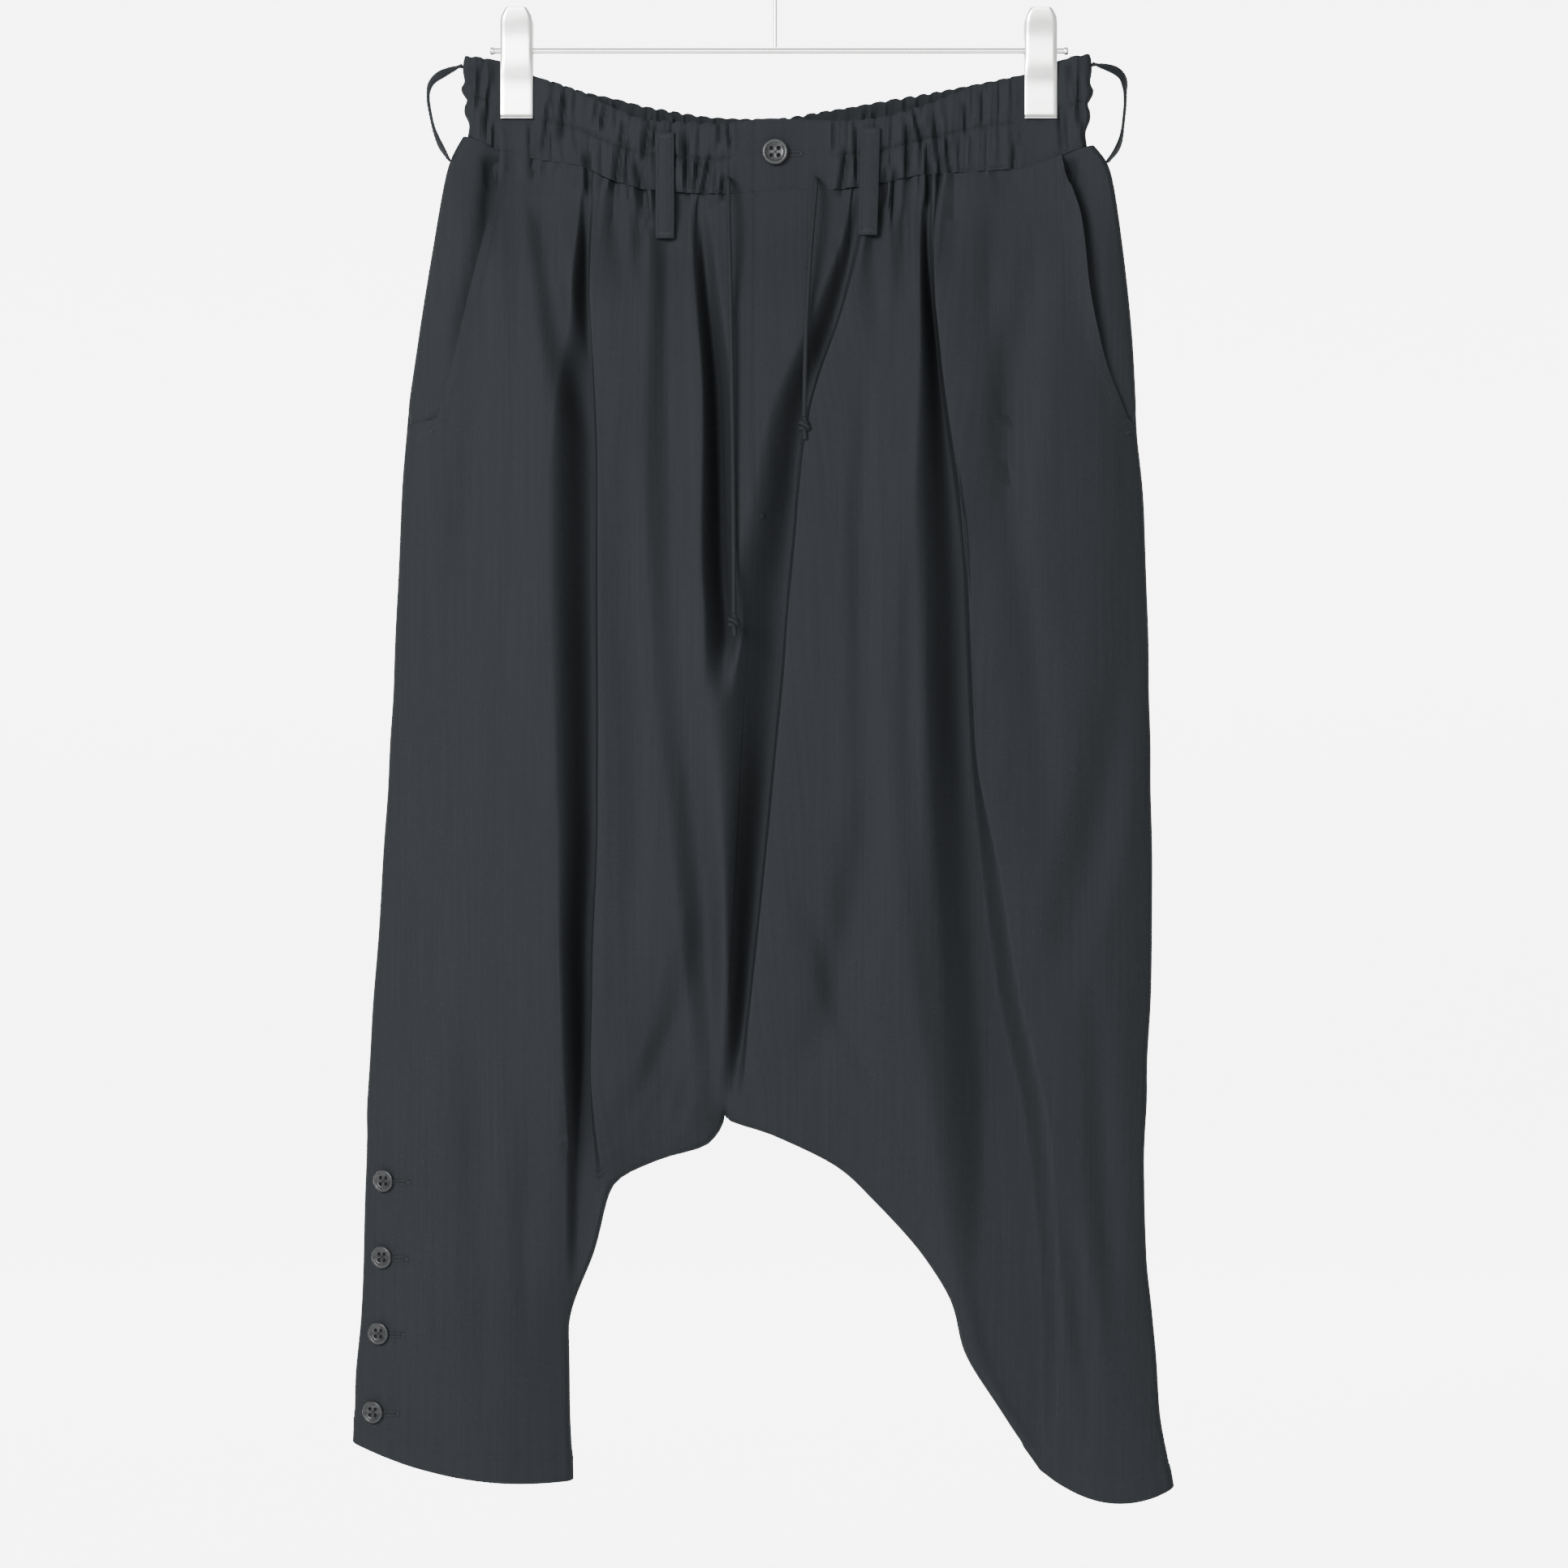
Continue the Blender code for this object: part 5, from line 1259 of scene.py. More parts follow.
BAND_STITCH_SHARES = (0.5, 0.965)
BAND_ROWS_OF_STITCH = {"front": [(-207, -15), (-10, 210)], "back": [(-207, 210)]}
# Side, x, drop, half length, and how many threads.
BAR_TACKS = [("left", -12.2, 99.8, 0.8, 3), ("left", -9.0, 318.0, 2.2, 6),
             ("right", -231.0, 260.0, 1.6, 4), ("left", 238.0, 260.0, 1.6, 4)]


def sew_seams():
    thread = Thread()
    # Along the waistband: between its two channels and just above its foot.
    for wall in ("front", "back"):
        for share in BAND_STITCH_SHARES:
            for low, high in BAND_ROWS_OF_STITCH[wall]:
                x = np.arange(low, high, 2.0)
                top, foot = waist(x, f"{wall}_top"), waist(x, f"{wall}_seam")
                thread.run(*on_band(wall, x, top + (foot - top) * share, 0.02))
    # The fly's curved row, the pocket mouths, and the hems.
    fly = close_points(FLY_STITCH, 3.0)
    thread.run(*on_cloth("front", "left", fly[:, 0], fly[:, 1]))
    for side, half in HALVES.items():
        sign = SIDE_SIGN[side]
        row = [(x - sign * MOUTH_STITCH, drop) for drop, x in POCKET_MOUTHS[side]]
        edge = close_points(row, 4.0)
        edge = edge[edge[:, 1] > waist(edge[:, 0], "front_seam") + 3]
        thread.run(*on_cloth("front", side, edge[:, 0], edge[:, 1]))
        for wall in ("front", "back"):
            u = np.linspace(0.03, 0.97, 60)
            x, hem = half.flat(u, np.full_like(u, half.last), wall)
            thread.run(*on_cloth(wall, side, x, hem - HEM_DEPTH + HEM_STITCH))
    drop = np.arange(PLACKET_TOP, 958, 4.0)
    x = side_x(HALVES["right"], drop) + PLACKET_WIDTH - PLACKET_STITCH
    thread.run(*on_cloth("front", "right", x, drop))
    # Bar tacks: at the fly's foot and edge, and at the foot of each pocket mouth.
    for side, x, drop, reach, threads in BAR_TACKS:
        drops = drop + 0.55 * (np.arange(threads) - threads // 2)
        starts, normals = on_cloth("front", side, x - reach, drops, 0.15)
        ends, _ = on_cloth("front", side, x + reach, drops, 0.15)
        for start, end, normal in zip(starts, ends, normals):
            thread.lay(start, end, normal, 0.3)
    return thread


def side_x(half, drop):
    """Where the side seam lies at a drop."""
    v = np.linspace(0, half.last, 1200)
    return np.interp(drop, half.along("outer_drop", v), half.along("outer_x", v))


# ---------------------------------------------------------------- belt loops


LOOP_ACROSS = 14
LOOP_EDGE_ROW = 1.9  # how far its rows of stitches lie from its edges


def make_strap(node, path, width_axis, finish, thread, twist=((0, 0), (1, 0))):
    """A folded and edge-stitched strap along a path, thicker at its turned-under ends."""
    path = ease(close_points(path, 1.1), 3)
    width_axis = np.array(width_axis, float)
    along = unit(np.gradient(path, axis=0))
    out = unit(np.cross(along, width_axis))
    travelled = travelled_along(path)
    turn = np.radians(through(*zip(*twist), travelled / travelled[-1]))[:, None]
    across = width_axis * np.cos(turn) + out * np.sin(turn)
    out = out * np.cos(turn) - width_axis * np.sin(turn)
    to_end = np.minimum(travelled, travelled[-1] - travelled)[:, None]
    level = np.linspace(-1, 1, LOOP_ACROSS + 1)
    from_edge = (1 - np.abs(level)) * LOOP_WIDTH / 2
    relief = 0.55 * quarter_round(from_edge, 1.3) - 0.55
    relief = relief - 0.35 * stitched_groove(from_edge - LOOP_EDGE_ROW, 0.6)
    relief = relief + 0.3 * np.exp(-((level / 0.3) ** 2))
    near_row = np.exp(-(((from_edge - LOOP_EDGE_ROW) / 1.5) ** 2))
    wavy = 0.14 * np.sin(travelled / 2.6 + 0.7)[:, None] * near_row
    rise = relief[None] + wavy + 0.35 * smooth_step((4.5 - to_end) / 1.2)
    rise = rise - 0.7 * np.exp(-to_end / 0.8)
    edge = path[:, None] + across[:, None] * (level * LOOP_WIDTH / 2)[None, :, None]
    outer = edge + out[:, None] * (LOOP_THICKNESS + rise)[..., None]
    inner = edge + out[:, None] * (0.1 + 0.25 * (np.abs(level) > 0.99))[None, :, None]
    sew_sheet(node, outer, inner, finish, smooth_angle=50)
    for way in (-1, 1):
        reach = way * (LOOP_WIDTH / 2 - LOOP_EDGE_ROW)
        row = path + across * reach + out * (LOOP_THICKNESS - 0.15)
        thread.run(row, out, 2.3, 0.7, 0.22)
    for at in (3.2, travelled[-1] - 3.2):
        i = int(np.argmin(np.abs(travelled - at)))
        for k in range(-2, 3):
            mark = path[i] + along[i] * 0.5 * k + out[i] * (LOOP_THICKNESS + 0.12)
            thread.lay(mark - across[i] * 4.6, mark + across[i] * 4.6, out[i], 0.26)


def front_loop_route(x, top, foot):
    """Straight down before the band, then bridging to the cloth below it."""
    drops = np.linspace(top, foot, 19)
    near = outermost("front", x, drops, 6.3) - 0.5
    chord = near[0] + (near[-1] - near[0]) * (drops - top) / (foot - top)
    y = np.minimum(near, chord)
    for _ in range(8):
        y[1:-1] = np.minimum(y[1:-1], 0.5 * (y[:-2] + y[2:]) + 0.04)
    lean = 0.03 * np.sign(x) * (drops - top) * (x > 0)
    return [(x - dx, yy, d) for dx, yy, d in zip(lean, y, drops)]


SIDE_LOOPS = {
    "right": [(-211.1, 11), (-219, 13.5), (-228, 18), (-233, 24), (-234, 32), (-232.5, 42),
              (-230, 53), (-226.5, 62), (-219.5, 73.5)],
    "left": [(214.1, 10), (223, 11.5), (231, 14.5), (235.5, 21), (236, 34), (235, 46),
             (233.5, 58), (230, 67), (223.8, 74.5)],
}


# How a side loop twists: shares of the way along it, and degrees.
SIDE_LOOP_TWIST = [
    (0, 0), (0.09, 24), (0.2, 34), (0.3, 26), (0.42, 9), (0.65, 6), (0.85, 13), (1, 0),
]


def make_belt_loops(finish, thread):
    for side, (x, top, foot) in FRONT_LOOPS.items():
        make_strap(f"belt_loop_front_{side}", front_loop_route(x, top, foot), (-1, 0, 0),
                   finish, thread)
    for side, route in SIDE_LOOPS.items():
        sign = SIDE_SIGN[side]
        stops = np.linspace(0, len(route) - 1, 33)
        xs, drops = (through(range(len(route)), [r[k] for r in route], stops) for k in range(2))
        path = [(x + sign * 0.2, 0.0, drop) for x, drop in zip(xs, drops)]
        make_strap(f"belt_loop_side_{side}", path, (0, -sign, 0),
                   finish, thread,
                   [(at, -sign * degrees) for at, degrees in SIDE_LOOP_TWIST])
    drops = np.linspace(46, 112, 19)
    x = 2.0
    near = outermost("back", x, drops, 6.3) + 0.5
    y = np.maximum(near, near[0] + (near[-1] - near[0]) * (drops - 46) / 66)
    make_strap("belt_loop_back", [(x, yy, d) for yy, d in zip(y, drops)], (1, 0, 0),
               finish, thread)


# ---------------------------------------------------------------- buttons


HOLE_SPREAD = 0.19  # how far each hole lies from the middle, as a share of the button's width
HOLE_RADIUS = 0.085
BUTTON_STEPS = 48
BUTTON_STAND = 0.25  # how far a button stands off the cloth
WAIST_SLIT = (12.3, 71.5, 8.4)  # x, drop and length
BUTTONHOLE_FROM = 11.5  # from a button's middle to its buttonhole's middle
BUTTONHOLE_LENGTH = 8.2


def button_shape(radius):
    """A turned button with a rolled rim, a dished face and four holes, facing +Z."""
    r, h = radius * MM, BUTTON_THICKNESS * MM
    profile = [(0.0, 0.46), (0.3, 0.47), (0.58, 0.54), (0.66, 0.62), (0.71, 0.8), (0.78, 0.95),
               (0.86, 1.0), (0.93, 0.95), (0.985, 0.78), (1.0, 0.58), (0.985, 0.36), (0.9, 0.16),
               (0.7, 0.04), (0.3, 0.0), (0.0, 0.0)]
    places = [Vector((across * r, 0, up * h)) for across, up in profile]
    mesh = mesh_of("button_shape", spin_profile(places, (0, 0, 1), BUTTON_STEPS))
    cutter_bm = bmesh.new()
    for k in range(4):
        angle = math.pi / 4 + k * math.pi / 2
        reach = HOLE_SPREAD * 2 * r
        place = Matrix.Translation((reach * math.cos(angle), reach * math.sin(angle), 0))
        bmesh.ops.create_cone(cutter_bm, cap_ends=True, segments=16, radius1=HOLE_RADIUS * 2 * r,
                              radius2=HOLE_RADIUS * 2 * r, depth=4 * h, matrix=place)
    blank = add_object("button_blank", mesh)
    cutter = add_object("button_cutter", mesh_of("button_holes", cutter_bm))
    cut = blank.modifiers.new("holes", "BOOLEAN")
    cut.object = cutter
    cut.operation = "DIFFERENCE"
    graph = bpy.context.evaluated_depsgraph_get()
    shaped = bpy.data.meshes.new_from_object(blank.evaluated_get(graph))
    for obj in (blank, cutter):
        bpy.data.objects.remove(obj, do_unlink=True)
    return shaped


def sew_button(thread, centre, normal, radius):
    """Thread that crosses from hole to hole of a button."""
    normal = unit(np.array(normal, float))
    side = unit(np.cross(np.array([0.0, 0.0, 1.0]), normal))
    up = unit(np.cross(normal, side))
    reach = HOLE_SPREAD * 2 * radius / math.sqrt(2)
    face = np.array(centre) + normal * (BUTTON_THICKNESS * 0.47 + 0.35)
    for offset in (-0.28, 0.0, 0.28):
        for a, b in (((-1, -1), (1, 1)), ((-1, 1), (1, -1))):
            shift = side * offset * (1 if a[1] < 0 else -1) * 0.7 + up * offset * 0.7
            thread.lay(face + (side * a[0] + up * a[1]) * reach * 1.1 + shift,
                       face + (side * b[0] + up * b[1]) * reach * 1.1 + shift, normal, 0.24)


def place_button(name, shape, centre, normal, finish):
    bm = bmesh.new()
    bm.from_mesh(shape)
    way = Vector(normal[:2].tolist() + [-float(normal[2])]).normalized()
    facing = way.to_track_quat("Z", "Y").to_matrix().to_4x4()
    matrix = Matrix.Translation(Vector(in_metres(*centre)) + way * BUTTON_STAND * MM) @ facing
    bmesh.ops.transform(bm, matrix=matrix, verts=bm.verts)
    piece = link_mesh(f"{name}_horn", bm, finish)
    return finish_piece(piece, [name], 35)


def make_buttonhole(thread, place, length):
    """Dense bar stitches either side of a slit, and a bar across each of its ends."""
    at = -length / 2 + 0.52 * (np.arange(int(length / 0.52)) + 0.5)
    rows = [(at, way * 0.25, way * 2.1) for way in (-1, 1)]
    rows += [(end * (length / 2 + 0.3 + 0.5 * np.arange(4)), -2.1, 2.1) for end in (-1, 1)]
    for along, inner, outer in rows:
        starts, normals = place(along, np.full_like(along, inner))
        ends, _ = place(along, np.full_like(along, outer))
        for start, end, normal in zip(starts, ends, normals):
            thread.lay(start + normal * 0.1, end + normal * 0.1, normal, 0.3)


def make_buttons(finish, thread):
    x, drop, radius = WAIST_BUTTON
    y = float(outermost("front", [x], [drop], radius * 0.9)[0])
    centre, normal = np.array([x, y, drop]), np.array([0.0, -1.0, 0.0])
    place_button("waist_button", button_shape(radius), centre, normal, finish)
    sew_button(thread, centre + normal * BUTTON_STAND, normal, radius)
    slit_x, slit_drop, slit_length = WAIST_SLIT

    def on_waist(at, aside):
        return on_band("front", slit_x + at, slit_drop + aside)

    make_buttonhole(thread, on_waist, slit_length)
    shape = button_shape(ANKLE_BUTTON_RADIUS)
    for side, half in HALVES.items():
        wall = "front" if side == "right" else "back"
        sign = SIDE_SIGN[side]
        drops = np.array(ANKLE_BUTTON_DROPS)
        xs = side_x(half, drops) - sign * ANKLE_BUTTON_INSET
        centres, normals = on_cloth(wall, side, xs, drops, 0.35)
        for number, (x, drop, centre, normal) in enumerate(zip(xs, drops, centres, normals), 1):
            place_button(f"ankle_button_{side}_{number}", shape, centre, normal, finish)
            sew_button(thread, centre + normal * BUTTON_STAND, normal, ANKLE_BUTTON_RADIUS)

            def on_leg(at, aside):
                return on_cloth(wall, side, x - sign * (BUTTONHOLE_FROM + at), drop + aside + 0.6)

            make_buttonhole(thread, on_leg, BUTTONHOLE_LENGTH)


# ---------------------------------------------------------------- drawcords


CORD_SIDES = 16
CORD_BEND = 7.0
PLAIT_HEIGHT = 0.16
PLAIT_PITCH = 3.4  # how far one strand travels along the cord in a quarter turn


def tube(name, path, radius, finish, spacing=0.55, tip=0.0):
    """A closed tube in millimetres along a path, with the plait of a braided cord raised on it."""
    sides = CORD_SIDES
    path = ease(close_points(path, spacing), 4)
    travelled = travelled_along(path)
    along = unit(np.gradient(path, axis=0))
    side = unit(np.cross(along[0], [0.3, 1.0, 0.2]))
    sides_at = []
    for t in along:
        side = unit(side - t * np.dot(side, t))
        sides_at.append(side)
    sides_at = np.array(sides_at)
    others = np.cross(along, sides_at)
    angle = 2 * math.pi * np.arange(sides) / sides
    s = travelled[:, None] / PLAIT_PITCH * math.pi / 2
    strands = np.maximum(np.sin(2 * (angle + s)) ** 2, np.sin(2 * (angle - s)) ** 2)
    rise = PLAIT_HEIGHT * (strands - 0.6)
    to_end = np.minimum(travelled, travelled[-1] - travelled)[:, None]
    rise = rise - tip * np.exp(-to_end / 0.5)
    r = radius + rise
    ring = sides_at[:, None] * np.cos(angle)[None, :, None]
    ring = ring + others[:, None] * np.sin(angle)[None, :, None]
    points = in_metres_grid(path[:, None] + ring * r[..., None])
    bm = bmesh.new()
    bmesh.ops.create_cone(bm, cap_ends=True, segments=sides, radius1=1.0, radius2=1.0, depth=1.0)
    bm.verts.ensure_lookup_table()
    upright = [e for e in bm.edges if abs(e.verts[0].co.z - e.verts[1].co.z) > 0.5]
    rings = len(path) - 1
    if rings > 1:
        bmesh.ops.subdivide_edges(bm, edges=upright, cuts=rings - 1, use_grid_fill=False)
    for vert in bm.verts:
        i = round((vert.co.z + 0.5) * rings)
        j = round(math.atan2(vert.co.y, vert.co.x) / (2 * math.pi) * sides) % sides
        vert.co = Vector(points[i, j])
    face_outwards(bm)
    return link_mesh(name, bm, finish), in_metres_grid(path), travelled[-1] * MM


def cord_route(side):
    """The cord's middle line: straight out of its eyelet, over, and down before the cloth."""
    first, *rest = [Route(*row) for row in CORD_ROUTES[side]]
    ey = float(on_band("front", first.x, first.drop)[0][1]) - 0.4
    route = [(first.x, ey, first.drop), (first.x, ey - 2.5, first.drop)]
    for degrees in range(10, 91, 10):
        a = math.radians(degrees)
        y = ey - 2.5 - CORD_BEND * math.sin(a)
        route.append((first.x, y, first.drop + CORD_BEND * (1 - math.cos(a))))
    start, lowest = route[-1], rest[-1]
    stops = np.linspace(0, 1, 26)[1:]
    drops = start[2] + (lowest.drop - start[2]) * stops
    knots = [start[2]] + [r.drop for r in rest[1:]]
    xs = through(knots, [start[0]] + [r.x for r in rest[1:]], drops)
    wanted = through(knots, [start[1]] + [r.y for r in rest[1:]], drops)
    face = outermost("front", xs, drops, 1.6) - CORD_RADIUS - 0.25
    route += list(zip(xs, np.minimum(wanted, face), drops))
    smooth = np.array(route)
    for _ in range(10):
        eased = smooth.copy()
        midway = 0.5 * (smooth[11:-2, 1] + smooth[13:, 1]) + 0.02
        eased[12:-1, 1] = np.minimum(smooth[12:-1, 1], midway)
        smooth = eased
    return [tuple(p) for p in smooth]


def knot_route(top):
    """The line of an overhand knot pulled tight: in, round nearly twice, and out in a tail."""
    x, y, drop = top
    route = [(0, 0, 0.0), (0.2, 0, 1.6)]
    turns = 1.85
    for k in range(31):
        t = k / 30
        angle = -0.6 + 2 * math.pi * turns * t
        reach = 2.75 * smooth_step(min(t, 1 - t) / 0.14 + 0.25)
        down = 3.0 + 6.2 * t + 1.3 * math.sin(angle + 0.8)
        route.append((reach * math.cos(angle), reach * math.sin(angle) * 0.86, down))
    route += [(0.3, 0.2, 11.4), (0.5, 0.2, 13.2), (0.7, 0.2, 15.0)]
    return [(x + a, y + b, drop + c) for a, b, c in route]


def make_drawcords(finish):
    for side in CORD_ROUTES:
        route = cord_route(side)
        cord, path, length = tube(f"drawcord_{side}_braid", route, CORD_RADIUS, finish)
        finish_piece(cord, [f"drawcord_{side}"], 70)
        end = route[-1]
        knot, _, _ = tube(f"drawcord_knot_{side}_braid", knot_route((end[0], end[1], end[2] + 0.1)),
                          CORD_RADIUS * 1.02, finish, 0.5, 0.3)
        finish_piece(knot, [f"drawcord_knot_{side}"], 70)


# ---------------------------------------------------------------- the hanger


def wire(name, path, radius, finish, sides=20):
    """A round wire in metres along points (x, y, z) in metres, with capped ends."""
    curve = bpy.data.curves.new(name, "CURVE")
    curve.dimensions = "3D"
    curve.bevel_depth = radius * MM
    curve.bevel_resolution = sides // 4
    curve.use_fill_caps = True
    spline = curve.splines.new("POLY")
    spline.points.add(len(path) - 1)
    for point, place in zip(spline.points, path):
        point.co = (*place, 1.0)
    made = add_object(name + "_line", curve)
    graph = bpy.context.evaluated_depsgraph_get()
    mesh = bpy.data.meshes.new_from_object(made.evaluated_get(graph))
    bpy.data.objects.remove(made, do_unlink=True)
    bm = bmesh.new()
    bm.from_mesh(mesh)
    bpy.data.meshes.remove(mesh)
    bmesh.ops.remove_doubles(bm, verts=bm.verts[:], dist=MERGE_DISTANCE)
    face_outwards(bm)
    return link_mesh(name, bm, finish)


BAR_STEPS = 40
# The cap on each end of the bar: its radius, and how far in from the end.
BAR_CAP = [
    (0.0, 0.0), (1.2, 0.05), (2.1, 0.35), (2.55, 0.9), (2.6, 1.5), (2.6, 3.0), (2.45, 3.3),
    (2.0, 3.45),
]
# The hook's stem from the bar up to its bend: x and z.
HOOK_STEM = [
    (0, -BAR_DROP + BAR_RADIUS + 0.3), (0, -80), (0, -62), (1.2, -54), (5, -47), (10.5, -41.5),
]


def make_bar_and_hook(finish):
    low, high = BAR_REACH
    profile = [(r, high - x) for r, x in BAR_CAP] + [(r, low + x) for r, x in BAR_CAP[::-1]]
    places = [Vector((x, 0, r)) * MM for r, x in profile]
    bar = link_mesh("hanger_bar_chrome", spin_profile(places, (1, 0, 0), BAR_STEPS), finish)
    bar.data.transform(Matrix.Translation((0, 0, -BAR_DROP * MM)))
    finish_piece(bar, ["hanger_bar"], 35)
    arc = HOOK_INSIDE_RADIUS + HOOK_WIRE_RADIUS
    knots = list(HOOK_STEM)
    for degrees in range(-50, 206, 15):
        angle = math.radians(degrees)
        knots.append((arc * math.cos(angle), -HOOK_INSIDE_RADIUS + arc * math.sin(angle)))
    stops = np.linspace(0, len(knots) - 1, 12 * (len(knots) - 1) + 1)
    xs, zs = (through(range(len(knots)), [k[a] for k in knots], stops) for a in range(2))
    path = ease(np.stack([xs, np.zeros_like(xs), zs], axis=1), 30)
    hook = wire("hanger_hook_chrome", path * MM, HOOK_WIRE_RADIUS, finish)
    finish_piece(hook, ["hanger_hook"], 50)


# A jaw's section: how far its inner face stands from the middle plane, at a drop.
JAW_SECTION = [(9.0, -28.0), (8.8, -26.0), (8.5, -22.0), (7.6, -17.0), (6.6, -12.0), (6.1, -7.0),
               (6.0, -3.0), (6.0, 3.0), (5.9, 8.0), (5.3, 13.5), (4.5, 18.5), (3.95, 22.5),
               (3.8, 28.0), (3.75, 36.0), (3.75, 41.0), (3.9, 43.6), (4.5, 45.2), (5.6, 46.2)]


JAW_ACROSS = 18
JAW_EDGE = 1.1  # how far its sides turn in
SPRING_TURNS = 4
SPRING_STEPS = 24  # in each turn
SPRING_WIRE = 0.62


def make_clip(side, x, finish):
    """Two pressed jaws with ribbed, rolled lips, and the sprung wire that shuts them."""
    for wall, sign in WALL_SIGN.items():
        bm = bmesh.new()
        bmesh.ops.create_grid(bm, x_segments=JAW_ACROSS, y_segments=len(JAW_SECTION) - 1, size=1.0)
        for vert in bm.verts:
            level = vert.co.x
            i = round((vert.co.y + 1) / 2 * (len(JAW_SECTION) - 1))
            stand, drop = JAW_SECTION[i]
            # The head is rounded off, and the sides are turned towards the other jaw.
            head = smooth_step((drop + 28) / 9)
            width = CLIP_WIDTH / 2 * (0.62 + 0.38 * head ** 0.5)
            turned = smooth_step((abs(level) - 0.8) / 0.2) * JAW_EDGE * (0.35 if drop > 12 else 1.0)
            lip = 0.5 * smooth_step((drop - 38.5) / 1.0) * smooth_step((44.0 - drop) / 1.5)
            vert.co = Vector(in_metres(x + level * width,
                                       sign * (stand + CLIP_PLATE - turned + lip), drop))
        bmesh.ops.recalc_face_normals(bm, faces=bm.faces[:])
        if sum(f.normal.y for f in bm.faces) * sign < 0:
            bmesh.ops.reverse_faces(bm, faces=bm.faces[:])
        jaw = link_mesh(f"clip_jaw_{wall}_{side}_chrome", bm, finish)
        plate = jaw.modifiers.new("plate", "SOLIDIFY")
        plate.thickness = CLIP_PLATE * 0.8 * MM
        plate.offset = -1
        soft = jaw.modifiers.new("soft_edges", "BEVEL")
        soft.width = 0.3 * MM
        soft.segments = 3
        soft.angle_limit = math.radians(50)
        finish_piece(jaw, [f"clip_jaw_{wall}_{side}"], 35)
    coil = SPRING_RADIUS - 0.75
    steps = SPRING_TURNS * SPRING_STEPS
    path = []
    for k in range(steps + 1):
        angle = 2 * math.pi * k / SPRING_STEPS
        path.append((x + 6 - 12 * k / steps, -coil * math.cos(angle),
                     -BAR_DROP + coil * math.sin(angle)))
    spring = wire(f"clip_spring_{side}_chrome", np.array(path) * MM, SPRING_WIRE, finish, 12)
    finish_piece(spring, [f"clip_spring_{side}"], 50)


# ---------------------------------------------------------------- materials


class Shader:
    """A Principled material under construction, with short ways to add its nodes."""

    def __init__(self, name, colour, roughness, metallic=0.0):
        self.material = bpy.data.materials.new(name)
        self.material.use_nodes = True
        self.tree = self.material.node_tree
        self.base = self.tree.nodes["Principled BSDF"]
        self.base.inputs["Base Color"].default_value = (*colour, 1.0)
        self.base.inputs["Roughness"].default_value = roughness
        self.base.inputs["Metallic"].default_value = metallic
        self.material.diffuse_color = (*colour, 1.0)

    def link(self, out, into):
        self.tree.links.new(out, into)

    def add(self, kind, values, links):
        """A node with these values and links on its inputs."""
        made = self.tree.nodes.new("ShaderNode" + kind)
        for socket, value in values.items():
            made.inputs[socket].default_value = value
        for socket, source in links.items():
            self.link(source, made.inputs[socket])
        return made

    def coordinates(self, kind):
        return self.add("TexCoord", {}, {}).outputs[kind]

    def mapped(self, source, scale, turn=0.0):
        values = {"Scale": scale, "Rotation": (0, 0, turn)}
        return self.add("Mapping", values, {"Vector": source}).outputs["Vector"]

    def noise(self, vector, scale, detail=3.0, roughness=0.55):
        values = {"Scale": scale, "Detail": detail, "Roughness": roughness}
        return self.add("TexNoise", values, {"Vector": vector}).outputs["Fac"]

    def wave(self, vector, scale, distortion):
        values = {"Scale": scale, "Distortion": distortion, "Detail": 1.0, "Detail Scale": 1.5}
        return self.add("TexWave", values, {"Vector": vector}).outputs["Fac"]

    def ranged(self, value, low, high, first=0.0, last=1.0):
        """The value, drawn from one range out to another."""
        values = {"From Min": first, "From Max": last, "To Min": low, "To Max": high}
        return self.add("MapRange", values, {"Value": value}).outputs["Result"]

    def mixed(self, *parts):
        """The sum of some values, each times its share."""
        total = None
        for value, share in parts:
            scaled = self.add("Math", {1: share}, {0: value})
            scaled.operation = "MULTIPLY"
            scaled = scaled.outputs["Value"]
            if total is not None:
                both = self.add("Math", {}, {0: total, 1: scaled})
                both.operation = "ADD"
                scaled = both.outputs["Value"]
            total = scaled
        return total

    def colours(self, value, *stops):
        made = self.add("ValToRGB", {}, {"Fac": value})
        ramp = made.color_ramp
        while len(ramp.elements) < len(stops):
            ramp.elements.new(0.5)
        for element, (place, colour) in zip(ramp.elements, stops):
            element.position = place
            element.color = (*colour, 1.0)
        self.link(made.outputs["Color"], self.base.inputs["Base Color"])

    def bump(self, height, strength, distance):
        values = {"Strength": strength, "Distance": distance}
        made = self.add("Bump", values, {"Height": height})
        self.link(made.outputs["Normal"], self.base.inputs["Normal"])


CHARCOAL = (0.0152, 0.0167, 0.0187)


def charcoal_twill():
    """Matte twill: fine diagonal ribs, slubs that run down the leg, and faint cloudiness."""
    made = Shader("charcoal_twill", CHARCOAL, 0.9)
    cut = made.coordinates("UV")
    rib = made.wave(made.mapped(cut, (1, 1, 1), math.radians(58)), 420.0, 0.6)
    warp = made.noise(made.mapped(cut, (2600, 260, 1)), 1.0, 2.0)
    slub = made.noise(made.mapped(cut, (520, 9, 1)), 1.0, 3.0, 0.6)
    cloud = made.noise(made.mapped(cut, (14, 9, 1)), 1.0, 3.0)
    darker, lighter = (tuple(c * shade for c in CHARCOAL) for shade in (0.93, 1.07))
    tone = made.mixed((slub, 0.55), (warp, 0.3), (cloud, 0.15))
    made.colours(tone, (0.38, darker), (0.62, lighter))
    made.bump(made.mixed((rib, 0.55), (warp, 0.45)), 0.35, 0.00025)
    made.base.inputs["Specular IOR Level"].default_value = 0.02
    return made.material


